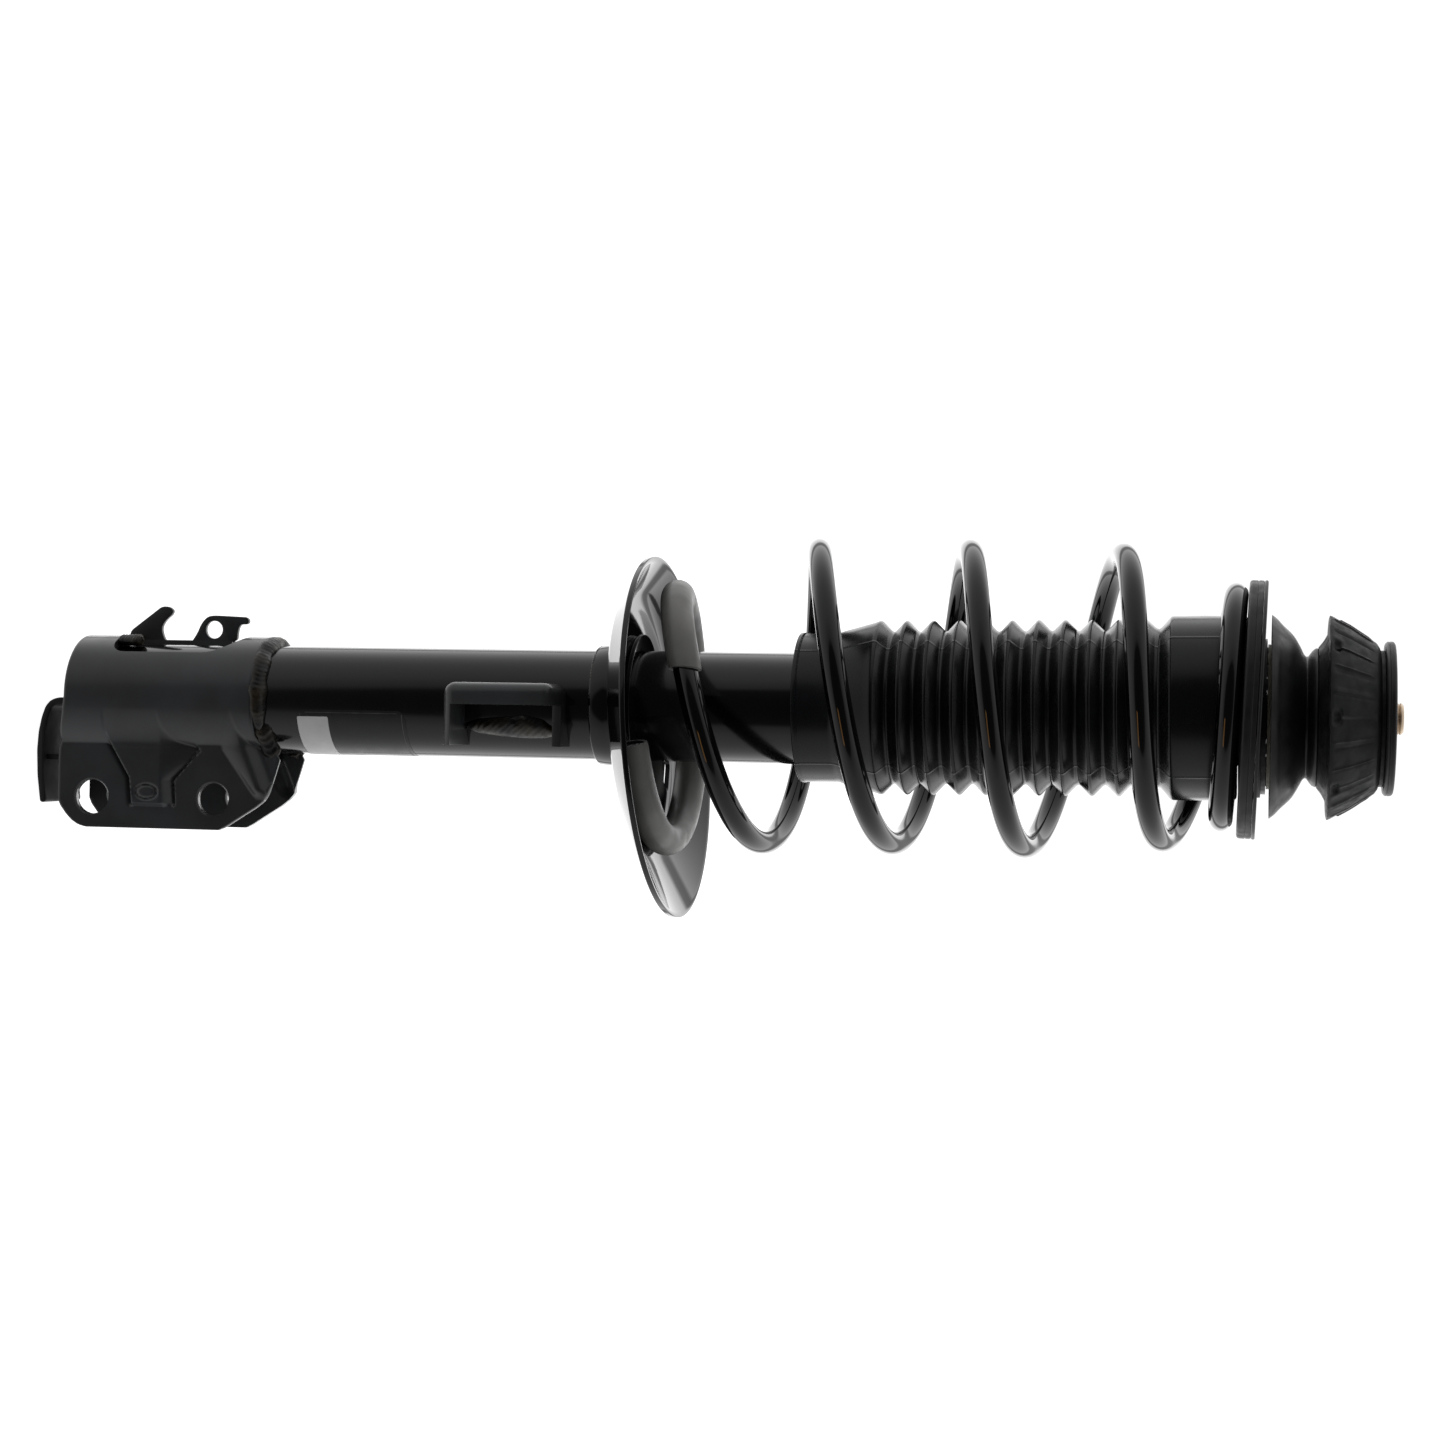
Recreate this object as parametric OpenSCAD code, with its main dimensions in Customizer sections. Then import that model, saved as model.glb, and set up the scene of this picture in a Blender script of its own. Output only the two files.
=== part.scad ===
// Front suspension strut: a telescopic damper with a knuckle bracket, coil spring,
// dust boot and top mount. +Z runs along the damper towards the top mount, and the
// origin is on the damper's axis, where the threaded rod end leaves the mount cap.
// The two ears of the knuckle bracket point to +X and the stabiliser link bracket to -Y.

/* [Damper] */
// Outside diameter of the damper tube
tube_d = 51; // [50:0.1:51.4]
// Wall of the damper tube
tube_wall = 2.6; // [2.2:0.1:3]
// Diameter of the piston rod
rod_d = 20; // [18:0.1:20.4]
// Diameter of the thread at the top of the rod
stud_d = 14; // [12:0.1:14.1]
// Height that the thread stands out of the mount cap
stud_out = 4.1; // [3:0.1:12]
// Inside diameter of the pressure tube
bore_d = 30; // [28:0.1:30]

/* [Coil spring] */
// Diameter of the spring wire
wire_d = 11; // [9:0.1:11.5]
// Mean radius of the working coils
coil_r = 66.5; // [64:0.5:68]
// Rise of one working turn
coil_pitch = 64.33; // [55:0.01:66]
// Outside diameter of the sleeve on the lowest coil
sleeve_d = 15; // [14:0.1:15.5]

/* [Lower spring seat] */
// Radius of the rolled rim
seat_r = 83.5; // [80:0.5:85]
// How far the seat's centre lies from the damper's axis, towards +X
seat_shift = 14; // [10:0.5:15]
// Lean of the seat, so that its +X side is the higher one
seat_lean = 4.8; // [3:0.1:5]
// Lean of the seat towards the -Y side
seat_nod = 1.2; // [0:0.1:2]
// Height of the rim at its centre
seat_z = -325; // [-328:0.5:-323]

/* [Dust boot] */
// Radius over the folds
fold_r = 39.5; // [38:0.5:40]
// Radius in the valleys
valley_r = 34.6; // [33.5:0.1:36]
// Distance from one fold to the next
fold_pitch = 11.9; // [11:0.1:12]
// Number of folds
folds = 11; // [8:1:11]

/* [Knuckle bracket] */
// Thickness of the bracket's sheet
bracket_t = 4; // [3.5:0.1:4.4]
// Distance between the outer faces of the two ears
ears_w = 40; // [38:0.5:41]
// Reach of the ears from the damper's axis
ear_x = 62; // [60:0.5:64]
// Distance of the two knuckle bolts from the damper's axis
bolt_x = 47.5; // [46:0.1:48.5]
// Height of the lower knuckle bolt
bolt_low_z = -600.6; // [-602:0.1:-599]
// Distance between the two knuckle bolts
bolt_gap = 60.6; // [58:0.1:62]
// Diameter of the lower bolt hole
bolt_low_d = 16.2; // [14:0.1:16.5]
// Diameter of the upper bolt hole
bolt_high_d = 15.2; // [14:0.1:16]

/* [Hidden] */

$fn = 96;
eps = 0.02;

// Damper heights, from the bottom up
tube_r = tube_d / 2;
tube_in_r = tube_r - tube_wall;
tube_z0 = -609;
tube_z1 = -214;
cap_t = 4;
bore_r = bore_d / 2;
bore_wall = 1.6;
valve_t = 6;
guide_z0 = -240;
guide_z1 = -221;
bush_wall = 1.5;
run_gap = 0.03;
rod_r = rod_d / 2;
stud_r = stud_d / 2;

// Rod end: the thread is drawn at its pitch radius where the nut holds it
thread_r = stud_r - 0.5;
nut_z0 = -4.7;
nut_z1 = -0.6;
free_z0 = -0.3;
core_z1 = -7.2;

// Piston, with the damper fully extended
piston_z = -266;
piston_h = 14;
shoulder_z = -45;

// Top face of the upper spring seat, at its centre
top_seat_z = -57.1;

// Spring: angles run from the -X side towards the -Y side, and the wire climbs as they grow
wire_r = wire_d / 2;
sleeve_r = sleeve_d / 2;
coil_start = 102;
coil_end = 2092;
coil_z0 = -332;
sleeve_end = 432;
ring_step = 10;
wire_sides = 12;

// Lower spring seat: height of its floor below the rim, and its sheet
floor_z = -12.4;
seat_t = 2.2;

// Strut bearing
ball_r = 2.5;
ball_z = -53.9;
race_low_z = -55;
race_high_z = -52.5;
ball_ring_r = 28.5;
balls = 24;

// Knuckle bracket heights
clamp_r = tube_r + 0.1 + bracket_t;
clamp_z0 = -611.5;
clamp_z1 = -518.4;
bolt_high_z = bolt_low_z + bolt_gap;

// Stabiliser link bracket
link_z0 = -420.2;
link_z1 = -368.6;
link_x = -9.2;
link_y = -50;
link_t = 4;
link_hole_r = 6.1;

// ---- helpers ----

// A solid of revolution from an outline of [radius, height] points
module turned(points) {
    rotate_extrude() polygon(points);
}

// A plain ring
module ring(r_in, r_out, z0, z1) {
    turned([[r_in, z0], [r_out, z0], [r_out, z1], [r_in, z1]]);
}

// A sheet that stands across Y, from an outline of [x, z] points
module sheet_xz(points, y0, y1) {
    translate([0, y1, 0]) rotate([90, 0, 0]) linear_extrude(y1 - y0) polygon(points);
}

// Smooth step from 0 to 1
function ease(u) = u <= 0 ? 0 : u >= 1 ? 1 : u * u * (3 - 2 * u);
function fade(a, b, from, to, t) = a + (b - a) * ease((t - from) / (to - from));

// ---- damper ----

module damper_tube() {
    color("#24262a") ring(tube_in_r, tube_r, tube_z0, tube_z1);
}

module base_cap() {
    color("#24262a") turned([[0, tube_z0], [tube_in_r, tube_z0], [tube_in_r, tube_z0 + cap_t],
        [12, tube_z0 + cap_t], [10, tube_z0 + cap_t - 1], [0, tube_z0 + cap_t - 1]]);
}

module base_valve() {
    foot_z = tube_z0 + cap_t;
    color("silver") difference() {
        turned([[0, foot_z], [tube_in_r - 0.5, foot_z], [tube_in_r - 0.5, foot_z + 2],
            [bore_r + bore_wall, foot_z + valve_t], [bore_r, foot_z + valve_t],
            [bore_r, foot_z + valve_t + 8], [0, foot_z + valve_t + 8]]);
        for (a = [0 : 60 : 300])
            rotate([0, 0, a]) translate([9, 0, foot_z - 1]) cylinder(r = 1.5, h = valve_t + 12);
    }
}

module pressure_tube() {
    color("silver") ring(bore_r, bore_r + bore_wall, tube_z0 + cap_t + valve_t, guide_z0 + 4);
}

module rod_guide() {
    bush_r = rod_r + run_gap + bush_wall;
    color("slategray") turned([[bush_r, guide_z0], [bore_r, guide_z0], [bore_r, guide_z0 + 4],
        [tube_in_r, guide_z0 + 4], [tube_in_r, guide_z1], [bush_r, guide_z1]]);
}

module guide_bush() {
    color("peru") ring(rod_r + run_gap, rod_r + run_gap + bush_wall, guide_z0 + 1, guide_z1 - 1);
}

module oil_seal() {
    color("#202020") turned([[rod_r + 0.06, guide_z1 + 1], [rod_r + 2, guide_z1],
        [tube_in_r, guide_z1], [tube_in_r, tube_z1], [rod_r + 2, tube_z1],
        [rod_r + 0.06, tube_z1 - 1]]);
}

module striker_cap() {
    out_r = tube_r + 1.5;
    color("#303236") turned([[tube_r, tube_z1 - 12], [out_r, tube_z1 - 12], [out_r, tube_z1 + 1.2],
        [out_r - 1, tube_z1 + 2], [rod_r + 3, tube_z1 + 2], [rod_r + 3, tube_z1], [tube_r, tube_z1]]);
}

module label() {
    color("#3a3c40") rotate([0, 0, -80]) rotate_extrude(angle = 114)
        polygon([[tube_r, -498], [tube_r + 0.15, -498], [tube_r + 0.15, -445], [tube_r, -445]]);
}

// ---- brackets on the tube ----

// One ear of the knuckle bracket, as an outline of [x, z] points
function ear_outline() = [[15, -617.8], [50.8, -617.8], [ear_x, -604.7], [ear_x, -537],
    [51, -519], [45, -513], [28.6, -508], [15, -508]];

module ear(side) {
    y_out = ears_w / 2;
    y0 = side > 0 ? y_out - bracket_t : -y_out;
    sheet_xz(ear_outline(), y0, y0 + bracket_t);
}

// The pressed rib that runs out from the clamp between the two bolt pads
module ear_rib(side) {
    y_out = ears_w / 2;
    rib_h = 3;
    y0 = side > 0 ? y_out - eps : -y_out - rib_h;
    sheet_xz([[18, -594], [30, -589], [52, -581], [52, -566], [30, -566], [18, -560]],
        y0, y0 + rib_h + eps);
}

module bolt_bore(z, d) {
    translate([bolt_x, ears_w, z]) rotate([90, 0, 0]) cylinder(d = d, h = 2 * ears_w);
}

module knuckle_bracket() {
    slot_half = ears_w / 2 - bracket_t;
    color("#2b2d31") difference() {
        union() {
            difference() {
                cylinder_between(clamp_r, clamp_z0, clamp_z1);
                translate([0, -slot_half, clamp_z0 - 1])
                    cube([clamp_r + 1, 2 * slot_half, clamp_z1 - clamp_z0 + 2]);
                // The window in the back wall
                translate([-clamp_r - 1, -clamp_r, -595.8])
                    cube([clamp_r + 1 - 21.7, 2 * clamp_r, 57.1]);
            }
            for (side = [-1, 1]) {
                ear(side);
                ear_rib(side);
            }
        }
        cylinder_between(tube_r + 0.1, clamp_z0 - 20, clamp_z1 + 20);
        bolt_bore(bolt_low_z, bolt_low_d);
        bolt_bore(bolt_high_z, bolt_high_d);
    }
}

module cylinder_between(r, z0, z1) {
    translate([0, 0, z0]) cylinder(r = r, h = z1 - z0);
}

// The folded sheet between the ears: a web along the tube and a foot under the tube's end
module knuckle_stiffener() {
    half = ears_w / 2 - bracket_t;
    web_x = tube_r + 2.5;
    web_t = 2.5;
    foot_t = 3.2;
    sole = [[0, -624.8], [6, -627.2], [20, -628.9], [36, -628.6], [51, -626.9]];
    top = [for (i = [len(sole) - 1 : -1 : 0]) sole[i] + [0, foot_t]];
    color("#2b2d31") {
        translate([web_x, -half, -627]) cube([web_t, 2 * half, 108]);
        sheet_xz(concat(sole, top), -half - bracket_t, half + bracket_t);
    }
}

// Sheet with an open hook and an eye for the brake hose and the sensor lead, on a curved pad
module hose_bracket() {
    sheet_t = 3;
    sheet_y = 4.5;
    pad_r = tube_r + 0.05;
    eye = [-33, -550.4];
    color("#2b2d31") difference() {
        union() {
            translate([0, 0, -594]) rotate([0, 0, 151]) rotate_extrude(angle = 22)
                translate([pad_r, 0]) square([2.4, 53.4]);
            sheet_xz([[-24, -594], [-32, -593], [-43.9, -577.2], [-43.9, -573.4], [-42, -571.1],
                [-39.6, -572.1], [-37.2, -575.2], [-33.8, -577.2], [-30, -576.4], [-26.4, -574.4],
                [-24, -574.4]], sheet_y, sheet_y + sheet_t);
            sheet_xz([[-24, -562.2], [-27, -561.8], [-31.6, -558.8], [-35.7, -557.2],
                [-39, -554.2], [-39.9, -550.7], [-39.2, -534.4], [-37.7, -532.8], [-35.7, -533.8],
                [-35.6, -537], [-33.6, -538.3], [-28.4, -538.8], [-27.4, -540.6], [-24, -540.6]],
                sheet_y, sheet_y + sheet_t);
        }
        translate([eye[0], sheet_y + 2 * sheet_t, eye[1]]) rotate([90, 0, 0])
            cylinder(r = 4.2, h = 3 * sheet_t);
        cylinder_between(pad_r, -600, -530);
    }
}

// A drawn tray: a web across X with the link's hole, two end walls and a shallow front lip
module link_bracket() {
    web_end = -10;
    wall_x = 19.4;
    lip_x = 0.8;
    mid_z = (link_z0 + link_z1) / 2;
    color("#2b2d31") difference() {
        union() {
            translate([link_x, link_y, link_z0]) cube([link_t, web_end - link_y, link_z1 - link_z0]);
            translate([link_x, link_y, link_z0]) cube([lip_x - link_x, link_t, link_z1 - link_z0]);
            for (z = [link_z0, link_z1 - link_t])
                translate([link_x, link_y, z]) cube([wall_x - link_x, web_end - link_y, link_t]);
        }
        cylinder_between(tube_r + 0.05, link_z0 - 1, link_z1 + 1);
        for (x = [lip_x, wall_x + 2])
            translate([x + 12, link_y - 1, link_z0 - 1]) rotate([0, 0, 45])
                translate([-6, -6, 0]) cube([12, 12, link_z1 - link_z0 + 2]);
        translate([link_x - 1, link_y + 13, mid_z]) rotate([0, 90, 0])
            cylinder(r = link_hole_r, h = link_t + 2);
    }
}

// Fillet welds: rings round the tube where the bracket and the seat end
module weld_beads() {
    bead = 3.6;
    color("#1d1e20") {
        rotate([0, 0, 55]) rotate_extrude(angle = 250)
            polygon([[tube_r, clamp_z1], [tube_r + bead, clamp_z1], [tube_r, clamp_z1 + bead]]);
        turned([[tube_r, -357.8], [tube_r, -361], [tube_r + 2.6, -357.8]]);
    }
}

// ---- lower spring seat ----

// Places its children in the leaning frame of the seat, with the rim at height 0
module in_seat() {
    translate([seat_shift, 0, seat_z]) rotate([seat_nod, -seat_lean, 0]) children();
}

// A shallow dish: a flat floor, a conical wall and a plain cut rim
module lower_spring_seat() {
    floor_r = 59;
    wall_top = seat_r - 1.5;
    color("#2b2d31") difference() {
        in_seat() turned([[0, floor_z], [floor_r, floor_z], [wall_top, 0], [seat_r - 0.4, 0],
            [seat_r, -0.4], [seat_r, -2.4], [seat_r - 0.4, -2.8], [floor_r + 1, floor_z - seat_t],
            [0, floor_z - seat_t]]);
        cylinder_between(tube_r + 0.05, -380, -320);
        in_seat() translate([43, -16, -30]) cube([4, 10, 30]);
    }
}

module seat_collar() {
    color("#2b2d31") difference() {
        cylinder_between(tube_r + 2.6, -357.8, -336);
        cylinder_between(tube_r, -359, -330);
        in_seat() cylinder_between(90, floor_z - seat_t - eps, 40);
    }
}

// ---- coil spring ----

// Share of a working turn's rise that the wire has gained at angle a
function rise(a) =
    let (low0 = 130, low1 = 430, top0 = 1660, top1 = 1815)
    let (low = min(max(a - low0, 0), low1 - low0), mid = min(max(a - low1, 0), top0 - low1))
    let (top = min(max(a - top0, 0), top1 - top0))
    low * low / (2 * (low1 - low0)) + mid + top - top * top / (2 * (top1 - top0));

// Mean radius, centre and lean of the coil at angle a
function coil_radius(a) = a < 900 ? fade(56.3, coil_r, 380, 640, a)
    : coil_r - 16.4 * pow(min(max((a - 1300) / 500, 0), 1), 2);
function coil_centre(a) = a < 900 ? fade(5.2, -6.2, 360, 680, a) : fade(-6.2, -4, 1440, 1640, a);
function coil_lean(a) = min(max(-6 + 12 * (a - 500) / 1000, -6), fade(6, 2.6, 1600, 1800, a));

// A point on the wire's centre line at angle a
function coil_point(a) = [
    coil_centre(a) - coil_radius(a) * cos(a),
    -coil_radius(a) * sin(a),
    coil_z0 + coil_pitch * rise(a) / 360 + coil_lean(a) * cos(a)];

// A ring of points of radius r round the wire at angle a
function wire_ring(a, r) =
    let (p = coil_point(a), d = coil_point(a + 1) - coil_point(a - 1))
    let (along = d / norm(d), out = [-cos(a), -sin(a), 0])
    let (side = out - (out * along) * along, u = side / norm(side), v = cross(along, u))
    [for (k = [0 : wire_sides - 1])
        let (b = 360 * k / wire_sides)
        p + r * cos(b) * u + r * sin(b) * v];

// A round bar along the coil, from angle a0 to angle a1; with r_in above 0 it is a tube
module coil_bar(a0, a1, r, r_in) {
    steps = ceil((a1 - a0) / ring_step);
    n = wire_sides;
    outer = [for (i = [0 : steps]) each wire_ring(a0 + (a1 - a0) * i / steps, r)];
    side = [for (i = [0 : steps - 1], k = [0 : n - 1])
        let (p = i * n + k, q = i * n + (k + 1) % n)
        each [[p, q, q + n], [p, q + n, p + n]]];
    if (r_in > 0) {
        inner = [for (i = [0 : steps]) each wire_ring(a0 + (a1 - a0) * i / steps, r_in)];
        m = (steps + 1) * n;
        ends = [for (k = [0 : n - 1])
            let (k2 = (k + 1) % n, e = steps * n)
            each [[k2, k, m + k], [k2, m + k, m + k2],
                [e + k, e + k2, m + e + k2], [e + k, m + e + k2, m + e + k]]];
        polyhedron(concat(outer, inner),
            concat([for (f = side) [f[2], f[1], f[0]]], [for (f = side) [f[0] + m, f[1] + m, f[2] + m]],
                [for (f = ends) [f[2], f[1], f[0]]]));
    } else {
        polyhedron(outer, concat([for (f = side) [f[2], f[1], f[0]]],
            [[for (k = [0 : n - 1]) k]], [[for (k = [n - 1 : -1 : 0]) steps * n + k]]));
    }
}

module coil_spring() {
    color("#17181a") coil_bar(coil_start, coil_end, wire_r, 0);
}

module spring_sleeve() {
    color("#8d8f8b") coil_bar(coil_start, sleeve_end, sleeve_r, wire_r + 0.1);
}

// ---- upper seat, boot and bump stop ----

// Places its children in the leaning frame of the upper seat, with its top face at height 0
module in_top() {
    translate([-2.9, 0, top_seat_z]) rotate([0, 2.1, 0]) children();
}

// Places the dust boot, which hangs a little off the damper's axis
module in_boot() {
    translate([-3.4, 0, -80]) rotate([0, -0.9, 0]) translate([0, 0, 80]) children();
}

module upper_spring_seat() {
    color("#303236") difference() {
        in_top() ring(14, 57.7, -1.6, 0);
        cylinder_between(14, -70, -40);
        cylinder_between(36, top_seat_z, -40);
    }
}

module upper_insulator() {
    skirt_r = 40.4;
    skirt_z = -67.4;
    color("#4a4650") difference() {
        in_top() turned([[26, -1.6], [57.4, -1.6], [57.4, -7.6], [56.8, -8.2], [skirt_r, -8.2],
            [skirt_r, -13.5], [30, -13.5], [26, -5]]);
        in_boot() translate([0, 0, skirt_z - 20]) cylinder(r = skirt_r + 2.2, h = 20);
    }
}

// The boot hangs from the insulator and leans slightly, so that its cuff is centred on the tube
module dust_boot() {
    t = 1.6;
    top_z = -67.8;
    collar_z = -96.4;
    first_z = -107.8;
    cuff_z = -246;
    end_z = -263.5;
    last_z = first_z - (folds - 1) * fold_pitch;
    outer = concat([[41.1, top_z], [41.1, collar_z], [valley_r, collar_z - 6]],
        [for (i = [0 : folds - 1]) each [[fold_r, first_z - i * fold_pitch],
            if (i < folds - 1) [valley_r, first_z - (i + 0.5) * fold_pitch]]],
        [[39, last_z - 2], [34.2, cuff_z], [34.2, end_z]]);
    count = len(outer);
    inner = [for (i = [count - 1 : -1 : 1]) [outer[i][0] - t, outer[i][1]]];
    neck = [[41.1 - t, top_z - t], [26.5, top_z - t], [26.5, top_z]];
    color("#23262c") in_boot() turned(concat(outer, inner, neck));
}

module bump_stop() {
    in_r = rod_r + 0.5;
    color("#3b3a36") turned([[in_r, -59.8], [21, -59.8], [22, -61], [22, -74], [18.5, -77], [22.5, -82],
        [22.5, -90], [17.5, -94], [20, -100], [19, -106], [15.5, -110], [16.5, -116], [14, -121],
        [in_r, -121]]);
}

// ---- strut bearing ----

module bearing_lower_race() {
    color("silver") turned(concat([[23, top_seat_z], [34.5, top_seat_z], [34.5, race_low_z]],
        groove(ball_r, race_low_z, -1), [[23, race_low_z]]));
}

module bearing_upper_race() {
    color("silver") turned(concat([[23, -46.5], [23, race_high_z]],
        groove(ball_r + 0.35, race_high_z, 1), [[34.5, race_high_z], [34.5, -46.5]]));
}

// Round groove in a race: it leaves the flat face at height z, on the side that way says
function groove(r, z, way) =
    let (half = acos(abs(z - ball_z) / r))
    [for (i = [0 : 8])
        let (a = -half + 2 * half * i / 8)
        [ball_ring_r + (way > 0 ? 1 : -1) * r * sin(a), ball_z + way * r * cos(a)]];

module bearing_cage() {
    color("#d8d2c0") difference() {
        ring(ball_ring_r - 3.6, ball_ring_r + 3.6, race_low_z + 0.3, race_high_z - 0.5);
        for (i = [0 : balls - 1])
            rotate([0, 0, 360 * i / balls]) translate([ball_ring_r, 0, ball_z - 3])
                cylinder(r = ball_r + 0.15, h = 6, $fn = 24);
    }
}

module bearing_balls() {
    color("silver") for (i = [0 : balls - 1])
        rotate([0, 0, 360 * i / balls]) translate([ball_ring_r, 0, ball_z]) sphere(r = ball_r, $fn = 32);
}

// ---- rod and piston ----

module piston_rod() {
    color("silver") turned([[0, piston_z - 14], [6, piston_z - 14], [6, piston_z + piston_h],
        [rod_r, piston_z + piston_h], [rod_r, shoulder_z], [stud_r, shoulder_z],
        [stud_r, core_z1], [thread_r, core_z1], [thread_r, free_z0], [stud_r, free_z0],
        [stud_r, stud_out - 1], [stud_r - 1, stud_out], [0, stud_out]]);
}

module rebound_stop() {
    top = guide_z0 - 0.4;
    color("dimgray") ring(rod_r, rod_r + 3.5, top - 8, top);
}

module piston() {
    color("gray") difference() {
        ring(6, bore_r - 0.4, piston_z, piston_z + piston_h - 1);
        ring(bore_r - 2, bore_r, piston_z + 3, piston_z + 10);
        for (a = [0 : 60 : 300])
            rotate([0, 0, a]) translate([9.6, 0, piston_z - 1]) cylinder(r = 1.2, h = piston_h + 2);
    }
}

module piston_ring() {
    color("#5a4a3a") ring(bore_r - 2, bore_r - 0.04, piston_z + 3, piston_z + 10);
}

module valve_discs() {
    color("silver") {
        ring(6, 12.5, piston_z + piston_h - 1, piston_z + piston_h);
        ring(6, 12.5, piston_z - 1.2, piston_z);
    }
}

module piston_nut() {
    color("goldenrod") difference() {
        translate([0, 0, piston_z - 9.2]) cylinder(r = 10.4, h = 8, $fn = 6);
        cylinder_between(6, piston_z - 20, piston_z);
    }
}

// ---- top mount ----

module mount_core() {
    color("silver") ring(stud_r + 0.02, 12, shoulder_z, core_z1);
}

module mount_bell() {
    color("#26282b") turned([[12, -33], [31, -33], [30, -35.3], [26.8, -37.9], [28.2, -38.8],
        [31.8, -41.1], [36.3, -43.8], [40.7, -48.6], [45.3, -53.3], [43.2, -53.3], [37, -47.4],
        [34.7, -46.5], [20, -46.5], [20, -45], [12, -45]]);
}

module mount_rubber() {
    color("#1f2022") difference() {
        turned([[12, core_z1], [16, core_z1], [18, -4.5], [30, -4.5], [30, -6.3], [31, -6.5], [33.3, -8],
            [41, -20], [45.3, -28.3], [37.3, -28.6], [33.8, -30.8], [31, -33], [12, -33]]);
        for (a = [0 : 15 : 345])
            rotate([0, 0, a]) translate([45.6, 0, -29]) rotate([0, -30, 0]) translate([0, 0, 1])
                cylinder(r = 1.2, h = 20, $fn = 16);
    }
}

module mount_cap() {
    color("#303236") turned([[stud_r + 0.3, core_z1], [16, core_z1], [18, -4.5], [33, -4.5], [34, -3.6],
        [34, -1], [33, 0], [16, 0], [14, -1.5], [13.5, nut_z0], [stud_r + 0.3, nut_z0]]);
}

module rod_nut() {
    color("goldenrod") difference() {
        translate([0, 0, nut_z0]) cylinder(r = 11, h = nut_z1 - nut_z0, $fn = 6);
        cylinder_between(thread_r, nut_z0 - 1, nut_z1 + 1);
    }
}

damper_tube();
base_cap();
base_valve();
pressure_tube();
rod_guide();
guide_bush();
oil_seal();
striker_cap();
knuckle_bracket();
knuckle_stiffener();
hose_bracket();
link_bracket();
weld_beads();
lower_spring_seat();
seat_collar();
coil_spring();
spring_sleeve();
label();
upper_spring_seat();
upper_insulator();
dust_boot();
bump_stop();
bearing_lower_race();
bearing_cage();
bearing_balls();
bearing_upper_race();
piston_rod();
rebound_stop();
piston();
piston_ring();
valve_discs();
piston_nut();
mount_core();
mount_bell();
mount_rubber();
mount_cap();
rod_nut();
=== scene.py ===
"""Looks of the strut assembly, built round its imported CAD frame.

The builders below work in millimetres and degrees in the part's own frame (+Z along the
damper towards the top mount, +X towards the knuckle ears); meshes are written in metres.
"""
import math

import bmesh
import bpy
from mathutils import Matrix, Vector, noise


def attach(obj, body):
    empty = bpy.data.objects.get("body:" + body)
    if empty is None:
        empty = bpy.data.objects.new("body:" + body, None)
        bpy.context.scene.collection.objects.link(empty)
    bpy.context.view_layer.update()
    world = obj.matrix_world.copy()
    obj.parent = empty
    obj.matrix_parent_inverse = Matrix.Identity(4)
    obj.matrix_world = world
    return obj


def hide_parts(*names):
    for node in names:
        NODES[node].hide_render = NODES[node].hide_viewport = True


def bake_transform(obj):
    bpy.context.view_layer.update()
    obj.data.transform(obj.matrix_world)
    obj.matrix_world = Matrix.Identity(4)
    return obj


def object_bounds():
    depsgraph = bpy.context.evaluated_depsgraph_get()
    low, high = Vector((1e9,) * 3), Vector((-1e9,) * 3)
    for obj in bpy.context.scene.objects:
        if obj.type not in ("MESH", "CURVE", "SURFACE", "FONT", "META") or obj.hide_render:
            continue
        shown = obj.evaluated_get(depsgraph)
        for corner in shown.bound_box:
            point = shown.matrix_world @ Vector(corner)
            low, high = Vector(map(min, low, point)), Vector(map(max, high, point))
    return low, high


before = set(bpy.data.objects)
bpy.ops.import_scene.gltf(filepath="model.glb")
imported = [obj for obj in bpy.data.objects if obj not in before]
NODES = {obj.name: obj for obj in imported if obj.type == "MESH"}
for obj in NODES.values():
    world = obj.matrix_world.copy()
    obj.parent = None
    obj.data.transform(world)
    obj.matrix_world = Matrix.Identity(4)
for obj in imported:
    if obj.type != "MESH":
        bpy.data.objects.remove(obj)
cad_low, cad_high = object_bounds()

MM = 0.001
COLLECTION = bpy.context.scene.collection


# ---------------------------------------------------------------- numbers

def clamp(x, low, high):
    return min(max(x, low), high)


def ease(u):
    u = clamp(u, 0, 1)
    return u * u * (3 - 2 * u)


def fade(a, b, start, end, t):
    return a + (b - a) * ease((t - start) / (end - start))


def along(points, x):
    """Height at x of an open line through (x, height) points."""
    if x <= points[0][0]:
        return points[0][1]
    for (x0, y0), (x1, y1) in zip(points, points[1:]):
        if x <= x1:
            return y0 + (y1 - y0) * (x - x0) / (x1 - x0)
    return points[-1][1]


def smooth_max(a, b, blend):
    h = clamp(0.5 + 0.5 * (a - b) / blend, 0, 1)
    return b + (a - b) * h + blend * h * (1 - h) * 0.5


def rough(p, size, seed=0.0):
    """Smooth noise from -1 to 1 at a point in mm, with bumps of that size."""
    return noise.noise(Vector(p) / size + Vector((seed, seed * 1.7, -seed)))


def rough_round(a, r, z, size):
    """The same noise round a turned piece, at angle a and height z."""
    return rough((r * math.cos(math.radians(a)), r * math.sin(math.radians(a)), z), size)


# ---------------------------------------------------------------- meshes

SAME_POINT = 2e-6
THIN_FACE = 1e-7


def add_object(name, data):
    obj = bpy.data.objects.new(name, data)
    COLLECTION.objects.link(obj)
    return obj


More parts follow.
